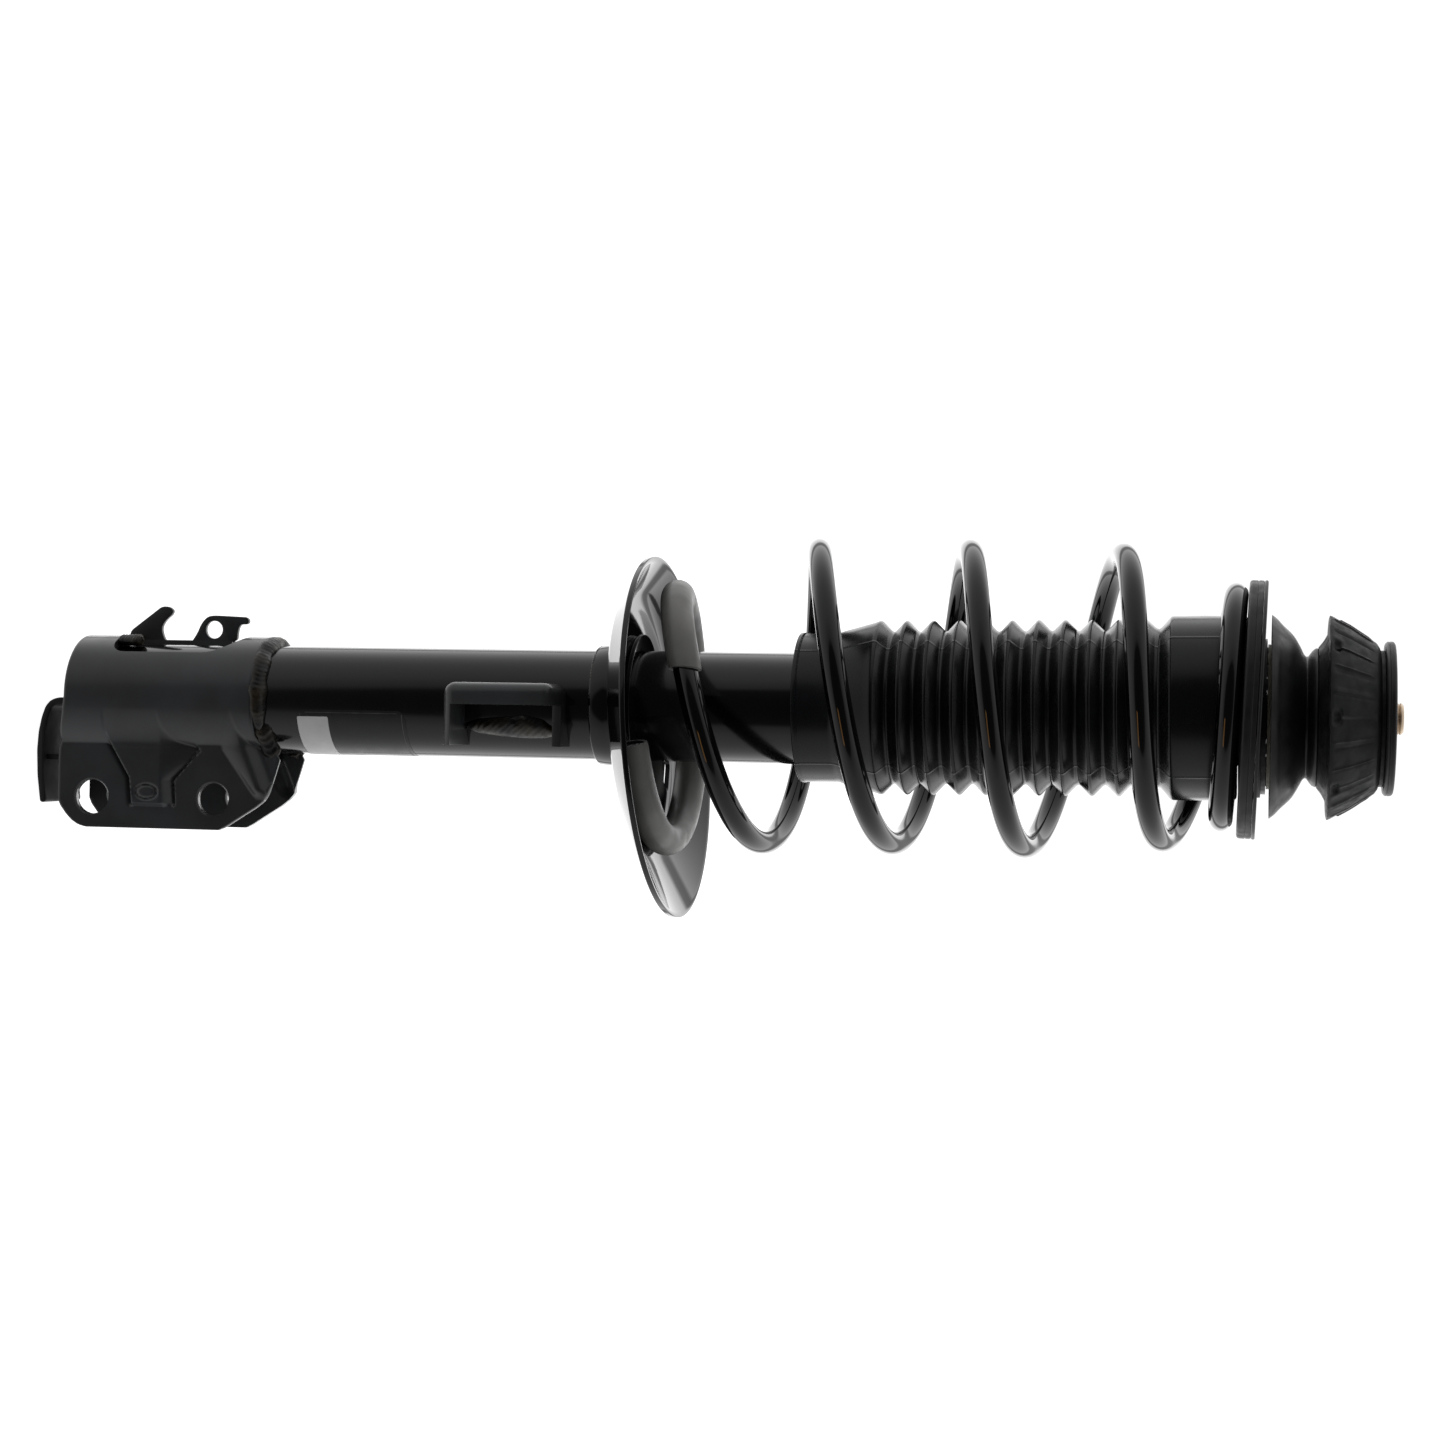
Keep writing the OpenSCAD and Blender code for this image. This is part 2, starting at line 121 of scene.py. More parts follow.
def clean(mesh, thin=False, unwanted=None):
    """Merges points that meet and turns faces outwards; also drops thin or unwanted faces."""
    bm = bmesh.new()
    bm.from_mesh(mesh)
    if unwanted:
        picked = [f for f in bm.faces if unwanted(f.calc_center_median())]
        bmesh.ops.delete(bm, geom=picked, context="FACES_ONLY")
    bmesh.ops.remove_doubles(bm, verts=bm.verts, dist=SAME_POINT)
    if thin:
        bmesh.ops.dissolve_degenerate(bm, edges=bm.edges, dist=THIN_FACE)
    bmesh.ops.recalc_face_normals(bm, faces=bm.faces)
    bm.to_mesh(mesh)
    bm.free()


def make_mesh(name, points, faces, sharp=38):
    mesh = bpy.data.meshes.new(name)
    mesh.from_pydata([Vector(p) * MM for p in points], [], faces)
    clean(mesh, thin=True)
    obj = add_object(name, mesh)
    smooth(obj, sharp)
    return obj


def smooth(obj, sharp=38):
    obj.data.polygons.foreach_set("use_smooth", [True] * len(obj.data.polygons))
    obj.data.set_sharp_from_angle(angle=math.radians(sharp))


def skin(rings, around=False, caps=False):
    """Points and faces of a skin over closed rings of equal length."""
    n, count = len(rings[0]), len(rings)
    points = [p for ring in rings for p in ring]
    faces = []
    for i in range(count if around else count - 1):
        j = (i + 1) % count
        for k in range(n):
            m = (k + 1) % n
            faces.append((i * n + k, i * n + m, j * n + m, j * n + k))
    if caps:
        faces.append(tuple(range(n)))
        faces.append(tuple(range((count - 1) * n, count * n)))
    return points, faces


def joined(parts):
    """One list of points and one of faces from several."""
    points, faces = [], []
    for more_points, more_faces in parts:
        start = len(points)
        points += more_points
        faces += [tuple(i + start for i in f) for f in more_faces]
    return points, faces


def rounded(corners, steps=5):
    """A closed outline from (a, b, rounding) corners."""
    out = []
    for i, (a, b, r) in enumerate(corners):
        p = Vector((a, b))
        before = Vector(corners[i - 1][:2]) - p
        after = Vector(corners[(i + 1) % len(corners)][:2]) - p
        if r <= 0:
            out.append(p)
            continue
        start = p + before * min(r / before.length, 0.48)
        end = p + after * min(r / after.length, 0.48)
        for k in range(steps + 1):
            t = k / steps
            out.append(start * (1 - t) ** 2 + p * (2 * t * (1 - t)) + end * t * t)
    return out


def angles(sides, extra=()):
    """Angles round a full turn, with a few more close to each extra one."""
    close = (-0.9, -0.35, 0, 0.35, 0.9)
    every = [360 * i / sides for i in range(sides)]
    return sorted(every + [(e + c) % 360 for e in extra for c in close])


def turned(name, outline, sides=180, place=None, shape=None, seams=(), sharp=38, span=None):
    """A solid of revolution; shape(angle, r, z) may change the radius, span is a part turn."""
    turn = [span[0] + (span[1] - span[0]) * i / sides for i in range(sides + 1)] if span \
        else angles(sides, seams)
    rings = []
    for a in turn:
        c, s = math.cos(math.radians(a)), math.sin(math.radians(a))
        ring = []
        for r, z in outline:
            radius = shape(a, r, z) if shape else r
            ring.append(Vector((radius * c, radius * s, z)))
        rings.append([place @ p for p in ring] if place else ring)
    points, faces = skin(rings, around=span is None, caps=span is not None)
    return make_mesh(name, points, faces, sharp)


def drawn(name, outlines, thickness, place, edge=0.5):
    """A flat sheet with rounded edges, from an outline and its holes, through a 2D curve."""
    curve = bpy.data.curves.new(name, "CURVE")
    curve.dimensions = "2D"
    curve.fill_mode = "BOTH"
    curve.bevel_depth = edge * MM
    curve.bevel_resolution = 3
    curve.offset = -edge * MM
    curve.extrude = (thickness / 2 - edge) * MM
    for outline in outlines:
        spline = curve.splines.new("POLY")
        spline.points.add(len(outline) - 1)
        for point, (a, b) in zip(spline.points, outline):
            point.co = (a * MM, b * MM, 0, 1)
        spline.use_cyclic_u = True
    source = add_object(name + "_curve", curve)
    bpy.context.view_layer.update()
    mesh = bpy.data.meshes.new_from_object(
        source.evaluated_get(bpy.context.evaluated_depsgraph_get()))
    bpy.data.objects.remove(source)
    placed = place.copy()
    placed.translation = placed.translation * MM
    mesh.transform(placed)
    clean(mesh)
    obj = add_object(name, mesh)
    smooth(obj)
    return obj


def circle(x, y, r, count=48):
    return [(x + r * math.cos(2 * math.pi * i / count), y + r * math.sin(2 * math.pi * i / count))
            for i in range(count)]


def cut(obj, cutter):
    """Takes cutter out of obj, and removes cutter."""
    step = obj.modifiers.new("cut", "BOOLEAN")
    step.operation = "DIFFERENCE"
    step.solver = "EXACT"
    step.object = cutter
    bake(obj)
    bpy.data.objects.remove(cutter)


def bake(obj):
    """Writes the object's modifiers into its mesh."""
    bpy.context.view_layer.update()
    mesh = bpy.data.meshes.new_from_object(
        obj.evaluated_get(bpy.context.evaluated_depsgraph_get()))
    obj.modifiers.clear()
    obj.data = mesh
    smooth(obj)


def merge(name, parts):
    """Joins several objects into one mesh piece."""
    bm = bmesh.new()
    for part in parts:
        bm.from_mesh(part.data)
    mesh = bpy.data.meshes.new(name)
    bm.to_mesh(mesh)
    bm.free()
    for part in parts:
        bpy.data.objects.remove(part)
    obj = add_object(name, mesh)
    smooth(obj)
    return obj


# ---------------------------------------------------------------- materials

class Look:
    """A node material on a Principled shader, with texture in the object's own space."""

    def __init__(self, name, colour, roughness, **sockets):
        self.material = bpy.data.materials.new(name)
        self.material.use_nodes = True
        self.tree = self.material.node_tree
        self.shader = self.tree.nodes["Principled BSDF"]
        self.coords = self.tree.nodes.new("ShaderNodeTexCoord").outputs["Object"]
        self.shader.inputs["Base Color"].default_value = (*colour, 1)
        self.shader.inputs["Roughness"].default_value = roughness
        for socket, value in sockets.items():
            self.shader.inputs[socket.replace("_", " ")].default_value = value
        self.normal = None

    def noise(self, size_mm, detail=3, stretch=(1, 1, 1)):
        mapping = self.tree.nodes.new("ShaderNodeMapping")
        mapping.inputs["Scale"].default_value = stretch
        self.tree.links.new(self.coords, mapping.inputs["Vector"])
        node = self.tree.nodes.new("ShaderNodeTexNoise")
        node.inputs["Scale"].default_value = 1000 / size_mm
        node.inputs["Detail"].default_value = detail
        self.tree.links.new(mapping.outputs["Vector"], node.inputs["Vector"])
        return node.outputs["Fac"]

    def spread(self, source, low, high, start=0.35, end=0.65):
        node = self.tree.nodes.new("ShaderNodeMapRange")
        node.inputs["From Min"].default_value = start
        node.inputs["From Max"].default_value = end
        node.inputs["To Min"].default_value = low
        node.inputs["To Max"].default_value = high
        self.tree.links.new(source, node.inputs["Value"])
        return node.outputs["Result"]

    def vary_colour(self, source, first, second, start=0.35, end=0.65):
        ramp = self.tree.nodes.new("ShaderNodeValToRGB")
        ramp.color_ramp.elements[0].position = start
        ramp.color_ramp.elements[0].color = (*first, 1)
        ramp.color_ramp.elements[1].position = end
        ramp.color_ramp.elements[1].color = (*second, 1)
        self.tree.links.new(source, ramp.inputs["Fac"])
        self.tree.links.new(ramp.outputs["Color"], self.shader.inputs["Base Color"])

    def vary_roughness(self, source, low, high):
        self.tree.links.new(self.spread(source, low, high), self.shader.inputs["Roughness"])

    def bump(self, source, strength, distance_mm):
        node = self.tree.nodes.new("ShaderNodeBump")
        node.inputs["Strength"].default_value = strength
        node.inputs["Distance"].default_value = distance_mm * MM
        self.tree.links.new(source, node.inputs["Height"])
        if self.normal:
            self.tree.links.new(self.normal, node.inputs["Normal"])
        self.normal = node.outputs["Normal"]
        self.tree.links.new(self.normal, self.shader.inputs["Normal"])

    def dust(self, size_mm, share, colour):
        """Fine light specks in patches, over the base colour."""
        tree = self.tree
        specks = self.noise(size_mm, detail=2)
        patches = self.noise(size_mm * 40, detail=2)
        both = tree.nodes.new("ShaderNodeMath")
        both.operation = "MULTIPLY"
        tree.links.new(self.spread(specks, 0, 1, 0.66, 0.74), both.inputs[0])
        tree.links.new(self.spread(patches, 0, share, 0.45, 0.7), both.inputs[1])
        over = tree.nodes.new("ShaderNodeMixRGB")
        base = self.shader.inputs["Base Color"]
        if base.is_linked:
            tree.links.new(base.links[0].from_socket, over.inputs["Color1"])
        else:
            over.inputs["Color1"].default_value = base.default_value
        over.inputs["Color2"].default_value = (*colour, 1)
        tree.links.new(both.outputs[0], over.inputs["Fac"])
        tree.links.new(over.outputs["Color"], base)


def grey(v, tint=(1, 1, 1)):
    return tuple(v * t for t in tint)


COOL = (0.94, 1.0, 1.1)
WARM = (1.08, 1.0, 0.9)


def textured(name, colour, roughness, film, sheen=None, bumps=(), dust=None, **sockets):
    """A look in layers, each from noise of its own size in mm and detail.

    film: size, detail, two colours and where the noise turns from one to the other;
    sheen: size, detail, lowest and highest roughness; bumps: size, detail, strength, depth;
    dust: size, share, colour.
    """
    look = Look(name, colour, roughness, **sockets)
    look.vary_colour(look.noise(*film[:2]), *film[2:])
    if sheen:
        look.vary_roughness(look.noise(*sheen[:2]), *sheen[2:])
    for size, detail, strength, depth in bumps:
        look.bump(look.noise(size, detail), strength, depth)
    if dust:
        look.dust(*dust)
    return look.material


def painted(name, value, roughness, coat=0.0):
    """Black paint on steel: faint orange peel, uneven film, a little dust."""
    return textured(name, grey(value), roughness,
                    (38, 4, grey(value * 0.8), grey(value * 1.25, COOL)),
                    (16, 5, roughness * 0.85, roughness * 1.2),
                    [(3.2, 2, 0.10, 0.06), (0.7, 2, 0.06, 0.02)],
                    (0.9, 0.10, grey(0.16, WARM)), Coat_Weight=coat, Coat_Roughness=0.06)


tube_paint = painted("tube_paint", 0.0048, 0.15, coat=0.35)
bracket_paint = painted("bracket_paint", 0.050, 0.34, coat=0.5)
# Painted shade: a darker copy of the bracket's black paint stands in for the shade on the bracket's
# foot; the base cap shares it.
foot_shade_paint = painted("foot_shade_paint", 0.010, 0.50)
gloss_coat = painted("gloss_coat", 0.0042, 0.055, coat=0.25)
cap_paint = painted("cap_paint", 0.016, 0.42)

weld_metal = textured(
    "weld_steel", grey(0.014), 0.28, (9, 4, (0.010, 0.010, 0.010), (0.050, 0.036, 0.020), 0.42, 0.72),
    (2.5, 5, 0.2, 0.5), [(1.3, 4, 0.20, 0.15)])
sleeve_plastic = textured(
    "sleeve_plastic", grey(0.20, WARM), 0.42,
    (26, 4, grey(0.17, (1, 1, 0.96)), grey(0.235, (1.02, 1, 0.96))),
    (9, 4, 0.34, 0.52), [(1.6, 4, 0.12, 0.06)], (1.1, 0.35, grey(0.03)))
boot_plastic = textured(
    "boot_plastic", grey(0.006, COOL), 0.24, (30, 3, grey(0.0055, COOL), grey(0.0085, (0.9, 1, 1.25))),
    (12, 3, 0.20, 0.28), [(0.9, 3, 0.08, 0.03)])
bump_foam = textured(
    "bump_foam", grey(0.045, WARM), 0.85, (2.2, 4, grey(0.03, WARM), grey(0.06, WARM)),
    None, [(1.1, 5, 0.6, 0.35)])
insulator_rubber = textured(
    "insulator_rubber", grey(0.012, (1.08, 0.96, 1.06)), 0.42,
    (18, 5, grey(0.010, (1.1, 0.95, 1.08)), grey(0.017, (1.08, 0.96, 1.06))),
    (6, 5, 0.35, 0.55), [(0.8, 4, 0.16, 0.06)], (0.8, 0.2, grey(0.10)))
mount_rubber_look = textured(
    "mount_rubber", grey(0.011), 0.55, (14, 5, grey(0.0085), grey(0.017, COOL)),
    (5, 5, 0.45, 0.68), [(0.7, 4, 0.22, 0.08), (7, 3, 0.12, 0.25)], (0.9, 0.25, grey(0.09)))
bell_paint = textured(
    "bell_paint", grey(0.0065), 0.40, (22, 4, grey(0.005), grey(0.009, COOL)),
    (9, 5, 0.32, 0.5), [(1.2, 4, 0.14, 0.06)])
cage_plastic = textured(
    "cage_plastic", (0.62, 0.58, 0.46), 0.45, (5, 3, (0.56, 0.52, 0.41), (0.66, 0.62, 0.50)),
    None, [(0.8, 3, 0.1, 0.05)])
label_film = textured(
    "label_film", grey(0.010, COOL), 0.30, (20, 3, grey(0.008, COOL), grey(0.012, COOL)),
    (11, 4, 0.24, 0.38), [(6, 3, 0.06, 0.08)], Coat_Weight=0.2, Coat_Roughness=0.12)
label_line = textured("label_line", grey(0.09), 0.4, (6, 4, grey(0.05), grey(0.11)))
label_white = textured(
    "label_block", grey(0.80), 0.45, (9, 3, grey(0.78), grey(0.86)), None, [(3, 3, 0.05, 0.05)])


def metal(name, colour, roughness, grain=(1, 1, 1)):
    look = Look(name, colour, roughness, Metallic=1.0)
    look.vary_colour(look.noise(12, detail=4), tuple(c * 0.85 for c in colour), colour)
    look.vary_roughness(look.noise(4, detail=4), roughness * 0.75, roughness * 1.3)
    look.bump(look.noise(0.8, detail=3, stretch=grain), 0.12, 0.02)
    return look.material


steel = metal("steel", (0.50, 0.50, 0.51), 0.32, grain=(0.2, 0.2, 3))
dark_steel = metal("dark_steel", (0.035, 0.035, 0.037), 0.36)
rod_chrome = metal("rod_chrome", (0.62, 0.63, 0.66), 0.07, grain=(0.3, 0.3, 4))
bush_bronze = metal("bush_bronze", (0.45, 0.30, 0.16), 0.38)
zinc_yellow = metal("zinc_yellow", (0.83, 0.66, 0.49), 0.30)


def finish_piece(obj, look, body, replaces=()):
    """Gives a new piece its material, body, CAD nodes and material slot."""
    obj.data.materials.clear()
    obj.data.materials.append(look)
    if body:
        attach(obj, body)
    if replaces:
        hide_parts(*replaces)


def keep_node(node, look):
    """Shows a CAD node as it is, with a material of its own."""
    NODES[node].data.materials.clear()
    NODES[node].data.materials.append(look)


# ---------------------------------------------------------------- damper

TUBE_R = 25.5
ON_TUBE_R = TUBE_R + 0.1
TUBE_IN_R = 22.9
TUBE_Z0 = -609
TUBE_Z1 = -214
CLAMP_Z0 = -611.5
CLAMP_Z1 = -518.4

tube_shell = turned("tube_shell", rounded([
    (TUBE_IN_R, TUBE_Z0, 0.4), (TUBE_R, TUBE_Z0, 1.0), (TUBE_R, TUBE_Z1, 0.8),
    (TUBE_IN_R, TUBE_Z1, 0.4)]), sides=256)
finish_piece(tube_shell, tube_paint, "tube", ["damper_tube"])

striker = turned("striker_ring", rounded([
    (TUBE_R, TUBE_Z1 - 12, 0), (27, TUBE_Z1 - 12, 0.6), (27, TUBE_Z1 + 2, 1.6),
    (13, TUBE_Z1 + 2, 0.5), (13, TUBE_Z1, 0), (TUBE_R, TUBE_Z1, 0)]), sides=160)
finish_piece(striker, tube_paint, "tube", ["striker_cap"])


# ---------------------------------------------------------------- knuckle bracket

SHEET_T = 4.0
CLAMP_R = ON_TUBE_R + SHEET_T
EAR_Y = 20.0
EAR_X = 62.0
RIB_H = 3.0
BOLT_X = 47.5
BOLT_Z = (-600.6, -540.0)
BOLT_R = (8.1, 7.6)

# Lower and upper edge of the sheet by distance X from the damper's axis
LOW_EDGE = [(0, CLAMP_Z0), (8, -612.6), (17, -615.2), (25, -617.6), (29, -617.8), (49, -617.8),
            (52, -616.6), (56, -613.6), (59, -610.6), (61, -607.4), (62, -603.6)]
HIGH_EDGE = [(0, CLAMP_Z1), (17, CLAMP_Z1), (20, -517.2), (23, -513.2), (26, -509.4), (28.6, -508),
             (34, -509.6), (41, -511.8), (45, -513), (48, -515.2), (51, -519), (58, -530),
             (60.5, -533.8), (62, -537)]
# Edges of the middle rib's flanks and of the upper ridge, by X
RIB_LEFT = [(14, -594), (21, -592.2), (38, -582.0), (50, -580.8)]
RIB_CREST = -565.4
RIB_RIGHT = [(13, -559), (24.5, -547.4), (39, -560.3), (50, -559.6)]
RIDGE_LEFT = [(14, -538), (24.5, -535.4), (47, -518.6)]
RIDGE_CREST = [(14, -529), (24.5, -524.6), (46, -515.8)]
RIDGE_FALL = 8.0
# How far the sheet sinks beside the rib and the ridge, as a share of RIB_H
VALLEY = 0.65
# The oval ring stamped in the rib's foot
RING_X, RING_Z = 44.6, -572.4
RING_HALF_X, RING_HALF_Z = 3.3, 5.1
RING_DEPTH = 1.0


def rib_height(x, z):
    """How far the rib and ridge stand off the ear, as a share of RIB_H, and the stamped ring."""
    left, right = along(RIB_LEFT, x), along(RIB_RIGHT, x)
    if z < RIB_CREST:
        rib = ease((z - left) / 1.6) - VALLEY * math.exp(-((z - left + 0.4) / 0.8) ** 2)
    elif z < right:
        rib = 1 - (1 + VALLEY) * ((z - RIB_CREST) / (right - RIB_CREST)) ** 1.25
    else:
        rib = -VALLEY * (1 - ease((z - right) / 1.1))
    rib *= 1 - ease((x - 49.6) / 2.2)
    crease, crest = along(RIDGE_LEFT, x), along(RIDGE_CREST, x)
    if z < crest:
        ridge = math.sin(math.pi / 2 * clamp((z - crease) / (crest - crease), 0, 1))
    else:
        ridge = 1 - (1 + VALLEY) * ease((z - crest) / RIDGE_FALL)
    ridge *= 1 - ease((x - 42) / 6)
    away = math.hypot((x - RING_X) / RING_HALF_X, (z - RING_Z) / RING_HALF_Z)
    ring = math.exp(-((away - 1) / 0.18) ** 2)
    return (ridge if z > (right + crease) / 2 else rib), ring


def ear_y(x, z, radius, flat, inside=False):
    """Half width of the bracket at a point, on its outer or inner face."""
    height, ring = rib_height(x, z)
    if inside:
        height = max(height, 0)
    wall = math.sqrt(max(radius * radius - x * x, 0.01))
    return smooth_max(wall, flat + RIB_H * height, 1.0 + 5 * max(height, 0)) - RING_DEPTH * ring


def bracket_side(side):
    """One half of the bracket: a wall round the tube, then the ear, as a closed sheet."""
    turn_steps = 36
    rows = [("turn", math.radians(90.0 * i / turn_steps)) for i in range(turn_steps)]
    reach = [1.2 * i for i in range(12)] + [14.4 + 0.6 * i for i in range(80)]
    reach = [x for x in reach if x < EAR_X - 0.4]
    for x in reach + [EAR_X - 0.4, EAR_X - 0.1, EAR_X]:
        rows.append(("reach", x))
    across = 180
    rings = []
    for kind, at in rows:
        if kind == "turn":
            low, high = CLAMP_Z0, CLAMP_Z1
        else:
            low, high = along(LOW_EDGE, at), along(HIGH_EDGE, at)
        inset = 0.0
        if kind == "reach" and at > EAR_X - 0.5:
            inset = 0.5 * (1 - math.sqrt(max(0.0, 1 - ((at - EAR_X + 0.4) / 0.4) ** 2)))
        outer, inner = [], []
        for k in range(across + 1):
            u = k / across
            z = low + (high - low) * u
            # The sheet thins close to its edges, which rounds them
            edge = min(z - low, high - z)
            bite = 0.5 * (1 - ease(edge / 0.8)) + inset
            if kind == "turn":
                c, s = math.cos(at), math.sin(at)
                outer.append((-(CLAMP_R - bite) * c, side * (CLAMP_R - bite) * s, z))
                inner.append((-ON_TUBE_R * c, side * ON_TUBE_R * s, z))
            else:
                y_out = ear_y(at, z, CLAMP_R, EAR_Y) - bite
                y_in = ear_y(at, z, ON_TUBE_R, EAR_Y - SHEET_T, inside=True) + 0.6 * bite
                outer.append((at, side * y_out, z))
                inner.append((at, side * min(y_in, y_out - 1), z))
        rings.append(outer + inner[::-1])
    points, faces = skin(rings)
    n = len(rings[0])
    last = (len(rings) - 1) * n
    half = n // 2
    for start in (0, last):
        for k in range(half - 1):
            faces.append((start + k, start + k + 1, start + n - 2 - k, start + n - 1 - k))
    return points, faces


bracket = make_mesh("bracket_sheet", *joined([bracket_side(-1), bracket_side(1)]), sharp=50)
# The two halves meet behind the tube: the faces between them go
clean(bracket.data, unwanted=lambda middle: middle.x < -TUBE_R * MM and abs(middle.y) < THIN_FACE)

for z, r in zip(BOLT_Z, BOLT_R):
    lip = 0.7
    bolt_profile = [(0, -30), (r + lip + 9, -30), (r + lip, -EAR_Y), (r, -EAR_Y + lip), (r, -16.3),
                    (r + 0.4, -15.8), (r + 0.4, 15.8), (r, 16.3), (r, EAR_Y - lip),
                    (r + lip, EAR_Y), (r + lip + 9, 30), (0, 30)]
    turn_to_y = Matrix.Translation((BOLT_X, 0, z)) @ Matrix.Rotation(math.pi / 2, 4, "X")
    cut(bracket, turned("bolt_cutter", bolt_profile, sides=72, place=turn_to_y))
WINDOW_LOW, WINDOW_BEND, WINDOW_HIGH, WINDOW_Y = -592.5, -547, -529, 20.4
window = [(-z, y) for z, y in rounded([(WINDOW_BEND, WINDOW_Y, 0), (WINDOW_LOW, WINDOW_Y, 7),
                                       (WINDOW_LOW, -WINDOW_Y, 7), (WINDOW_BEND, -WINDOW_Y, 0)], 8)]
for i in range(1, 24):
    a = -math.pi / 2 + math.pi * i / 24
    window.append((-WINDOW_BEND - (WINDOW_HIGH - WINDOW_BEND) * math.cos(a), WINDOW_Y * math.sin(a)))
cut(bracket, drawn("window_cutter", [window], 24,
                   Matrix.Translation((-31.7, 0, 0)) @ Matrix.Rotation(math.pi / 2, 4, "Y"), 0.01))
smooth(bracket, 42)
finish_piece(bracket, bracket_paint, "tube", ["knuckle_bracket"])

keep_node("base_cap", foot_shade_paint)

FOOT_T = 3.2
foot_path = [Vector(p) for p in ((0.7, -615.5), (0.9, -619), (2.2, -622.4), (5, -624.9), (10, -626.7),
                                 (17, -628.2), (26, -628.85), (38, -628.4), (51, -626.8))]
foot_back = []
for i, p in enumerate(foot_path):
    way = (foot_path[min(i + 1, len(foot_path) - 1)] - foot_path[max(i - 1, 0)]).normalized()
    foot_back.append(p + Vector((-way.y, way.x)) * FOOT_T)
foot_outline = rounded([(p.x, p.y, 1.6) for p in foot_path + foot_back[::-1]], 4)
across_y = Matrix.Rotation(math.pi / 2, 4, "X")
web_outline = rounded([(28, -626, 0.4), (30.5, -626, 0.4), (30.5, -519, 0.6), (28, -519, 0.6)], 3)
foot = merge("bracket_foot", [drawn("foot_sole", [foot_outline], 2 * EAR_Y, across_y, 0.6),
                              drawn("foot_web", [web_outline], 2 * (EAR_Y - SHEET_T), across_y, 0.3)])
finish_piece(foot, foot_shade_paint, "tube", ["knuckle_stiffener"])


# ---------------------------------------------------------------- hose bracket

SHEET_Y = 6.0
upright = Matrix.Translation((0, SHEET_Y, 0)) @ Matrix.Rotation(math.pi / 2, 4, "X")
hook = rounded([(-24.4, -594, 0.5), (-32, -593, 2), (-43.9, -577.2, 1.5), (-43.9, -573.2, 2),
                (-42, -571.1, 1.5), (-39.8, -572.1, 1), (-37.2, -575.2, 3), (-33.8, -577.2, 4),
                (-30, -576.4, 3), (-26.4, -574.4, 1), (-24.4, -574.4, 0)], 6)
eye = rounded([(-24.4, -562.2, 0), (-27, -561.8, 1), (-31.6, -558.8, 3), (-35.7, -557.2, 3),
               (-39.2, -554.2, 3.4), (-39.9, -550.7, 3), (-39.3, -536, 1), (-39.2, -534, 2),
               (-37.7, -532.8, 2), (-35.7, -533.4, 1.4), (-35.6, -537, 1), (-33.6, -538.3, 2),
               (-28.4, -538.8, 1), (-27.4, -540.6, 1), (-24.4, -540.6, 0)], 6)
pad = turned("hose_pad", rounded([(25.55, -594, 0.3), (27.95, -594, 0.8), (27.95, -540.6, 0.8),
                                  (25.55, -540.6, 0.3)]), sides=24, span=(151, 173))
eye_hole = circle(-33, -550.4, 4.2)
hose = merge("hose_bracket_sheet", [
    drawn("hook_sheet", [hook], 3, upright), drawn("eye_sheet", [eye, eye_hole], 3, upright), pad])
finish_piece(hose, bracket_paint, "tube", ["hose_bracket"])


# ---------------------------------------------------------------- link bracket

LINK_LOW, LINK_HIGH = Vector((-9.2, -50, -420.2)), Vector((19.4, -8, -368.6))
LINK_T = 4.0


def block(name, low, high, bevel=0.0, edges=None):
    """A box with some of its edges rounded; edges picks them by the middle of each, from 0 to 1."""
    bm = bmesh.new()
    bmesh.ops.create_cube(bm, size=1)
    size = Vector(high) - Vector(low)
    if bevel:
        bmesh.ops.scale(bm, vec=size, verts=bm.verts)
        picked = [e for e in bm.edges if edges((e.verts[0].co + e.verts[1].co) / 2, size)]
        bmesh.ops.bevel(bm, geom=picked, offset=bevel, segments=8, profile=0.5, affect="EDGES")
        bmesh.ops.scale(bm, vec=Vector((1 / size.x, 1 / size.y, 1 / size.z)), verts=bm.verts)
    for v in bm.verts:
        v.co = (Vector(low) + Vector(((v.co.x + 0.5) * size.x, (v.co.y + 0.5) * size.y,
                                      (v.co.z + 0.5) * size.z))) * MM
    mesh = bpy.data.meshes.new(name)
    bm.to_mesh(mesh)
    bm.free()
    return add_object(name, mesh)


def drawn_edges(middle, size):
    """The front edges of the tray and those down the back of its web, but not the open side's."""
    front = middle.y < -0.45 * size.y and middle.x < 0.45 * size.x
    back = middle.x < -0.45 * size.x and abs(middle.z) > 0.45 * size.z
    return front or back


skin_t = Vector((LINK_T, LINK_T, LINK_T))
link = block("link_tray", LINK_LOW, LINK_HIGH, 5.2, drawn_edges)
cut(link, block("tray_inside", LINK_LOW + skin_t, (40, 12, LINK_HIGH.z - LINK_T), 1.6, drawn_edges))
cut(link, block("tray_front", (0.8, -60, LINK_LOW.z + LINK_T), (40, -40, LINK_HIGH.z - LINK_T)))
cut(link, block("tray_right_wall", (0.8, -60, LINK_HIGH.z - 1.5 * LINK_T), (40, -34, LINK_HIGH.z + 5)))
tube_room = [(0, -440), (TUBE_R + 0.05, -440), (TUBE_R + 0.05, -350), (0, -350)]
cut(link, turned("tray_tube", tube_room, sides=200))
link_hole = Matrix.Translation((-7, -37, -394.4)) @ Matrix.Rotation(math.pi / 2, 4, "Y")
cut(link, turned("tray_hole", [(0, -9), (6.1, -9), (6.1, 9), (0, 9)], sides=64, place=link_hole))
rounding = link.modifiers.new("rounded_edges", "BEVEL")
rounding.width = 0.55 * MM
rounding.segments = 3
rounding.limit_method = "ANGLE"
rounding.angle_limit = math.radians(40)
bake(link)
finish_piece(link, bracket_paint, "tube", ["link_bracket"])


# ---------------------------------------------------------------- welds

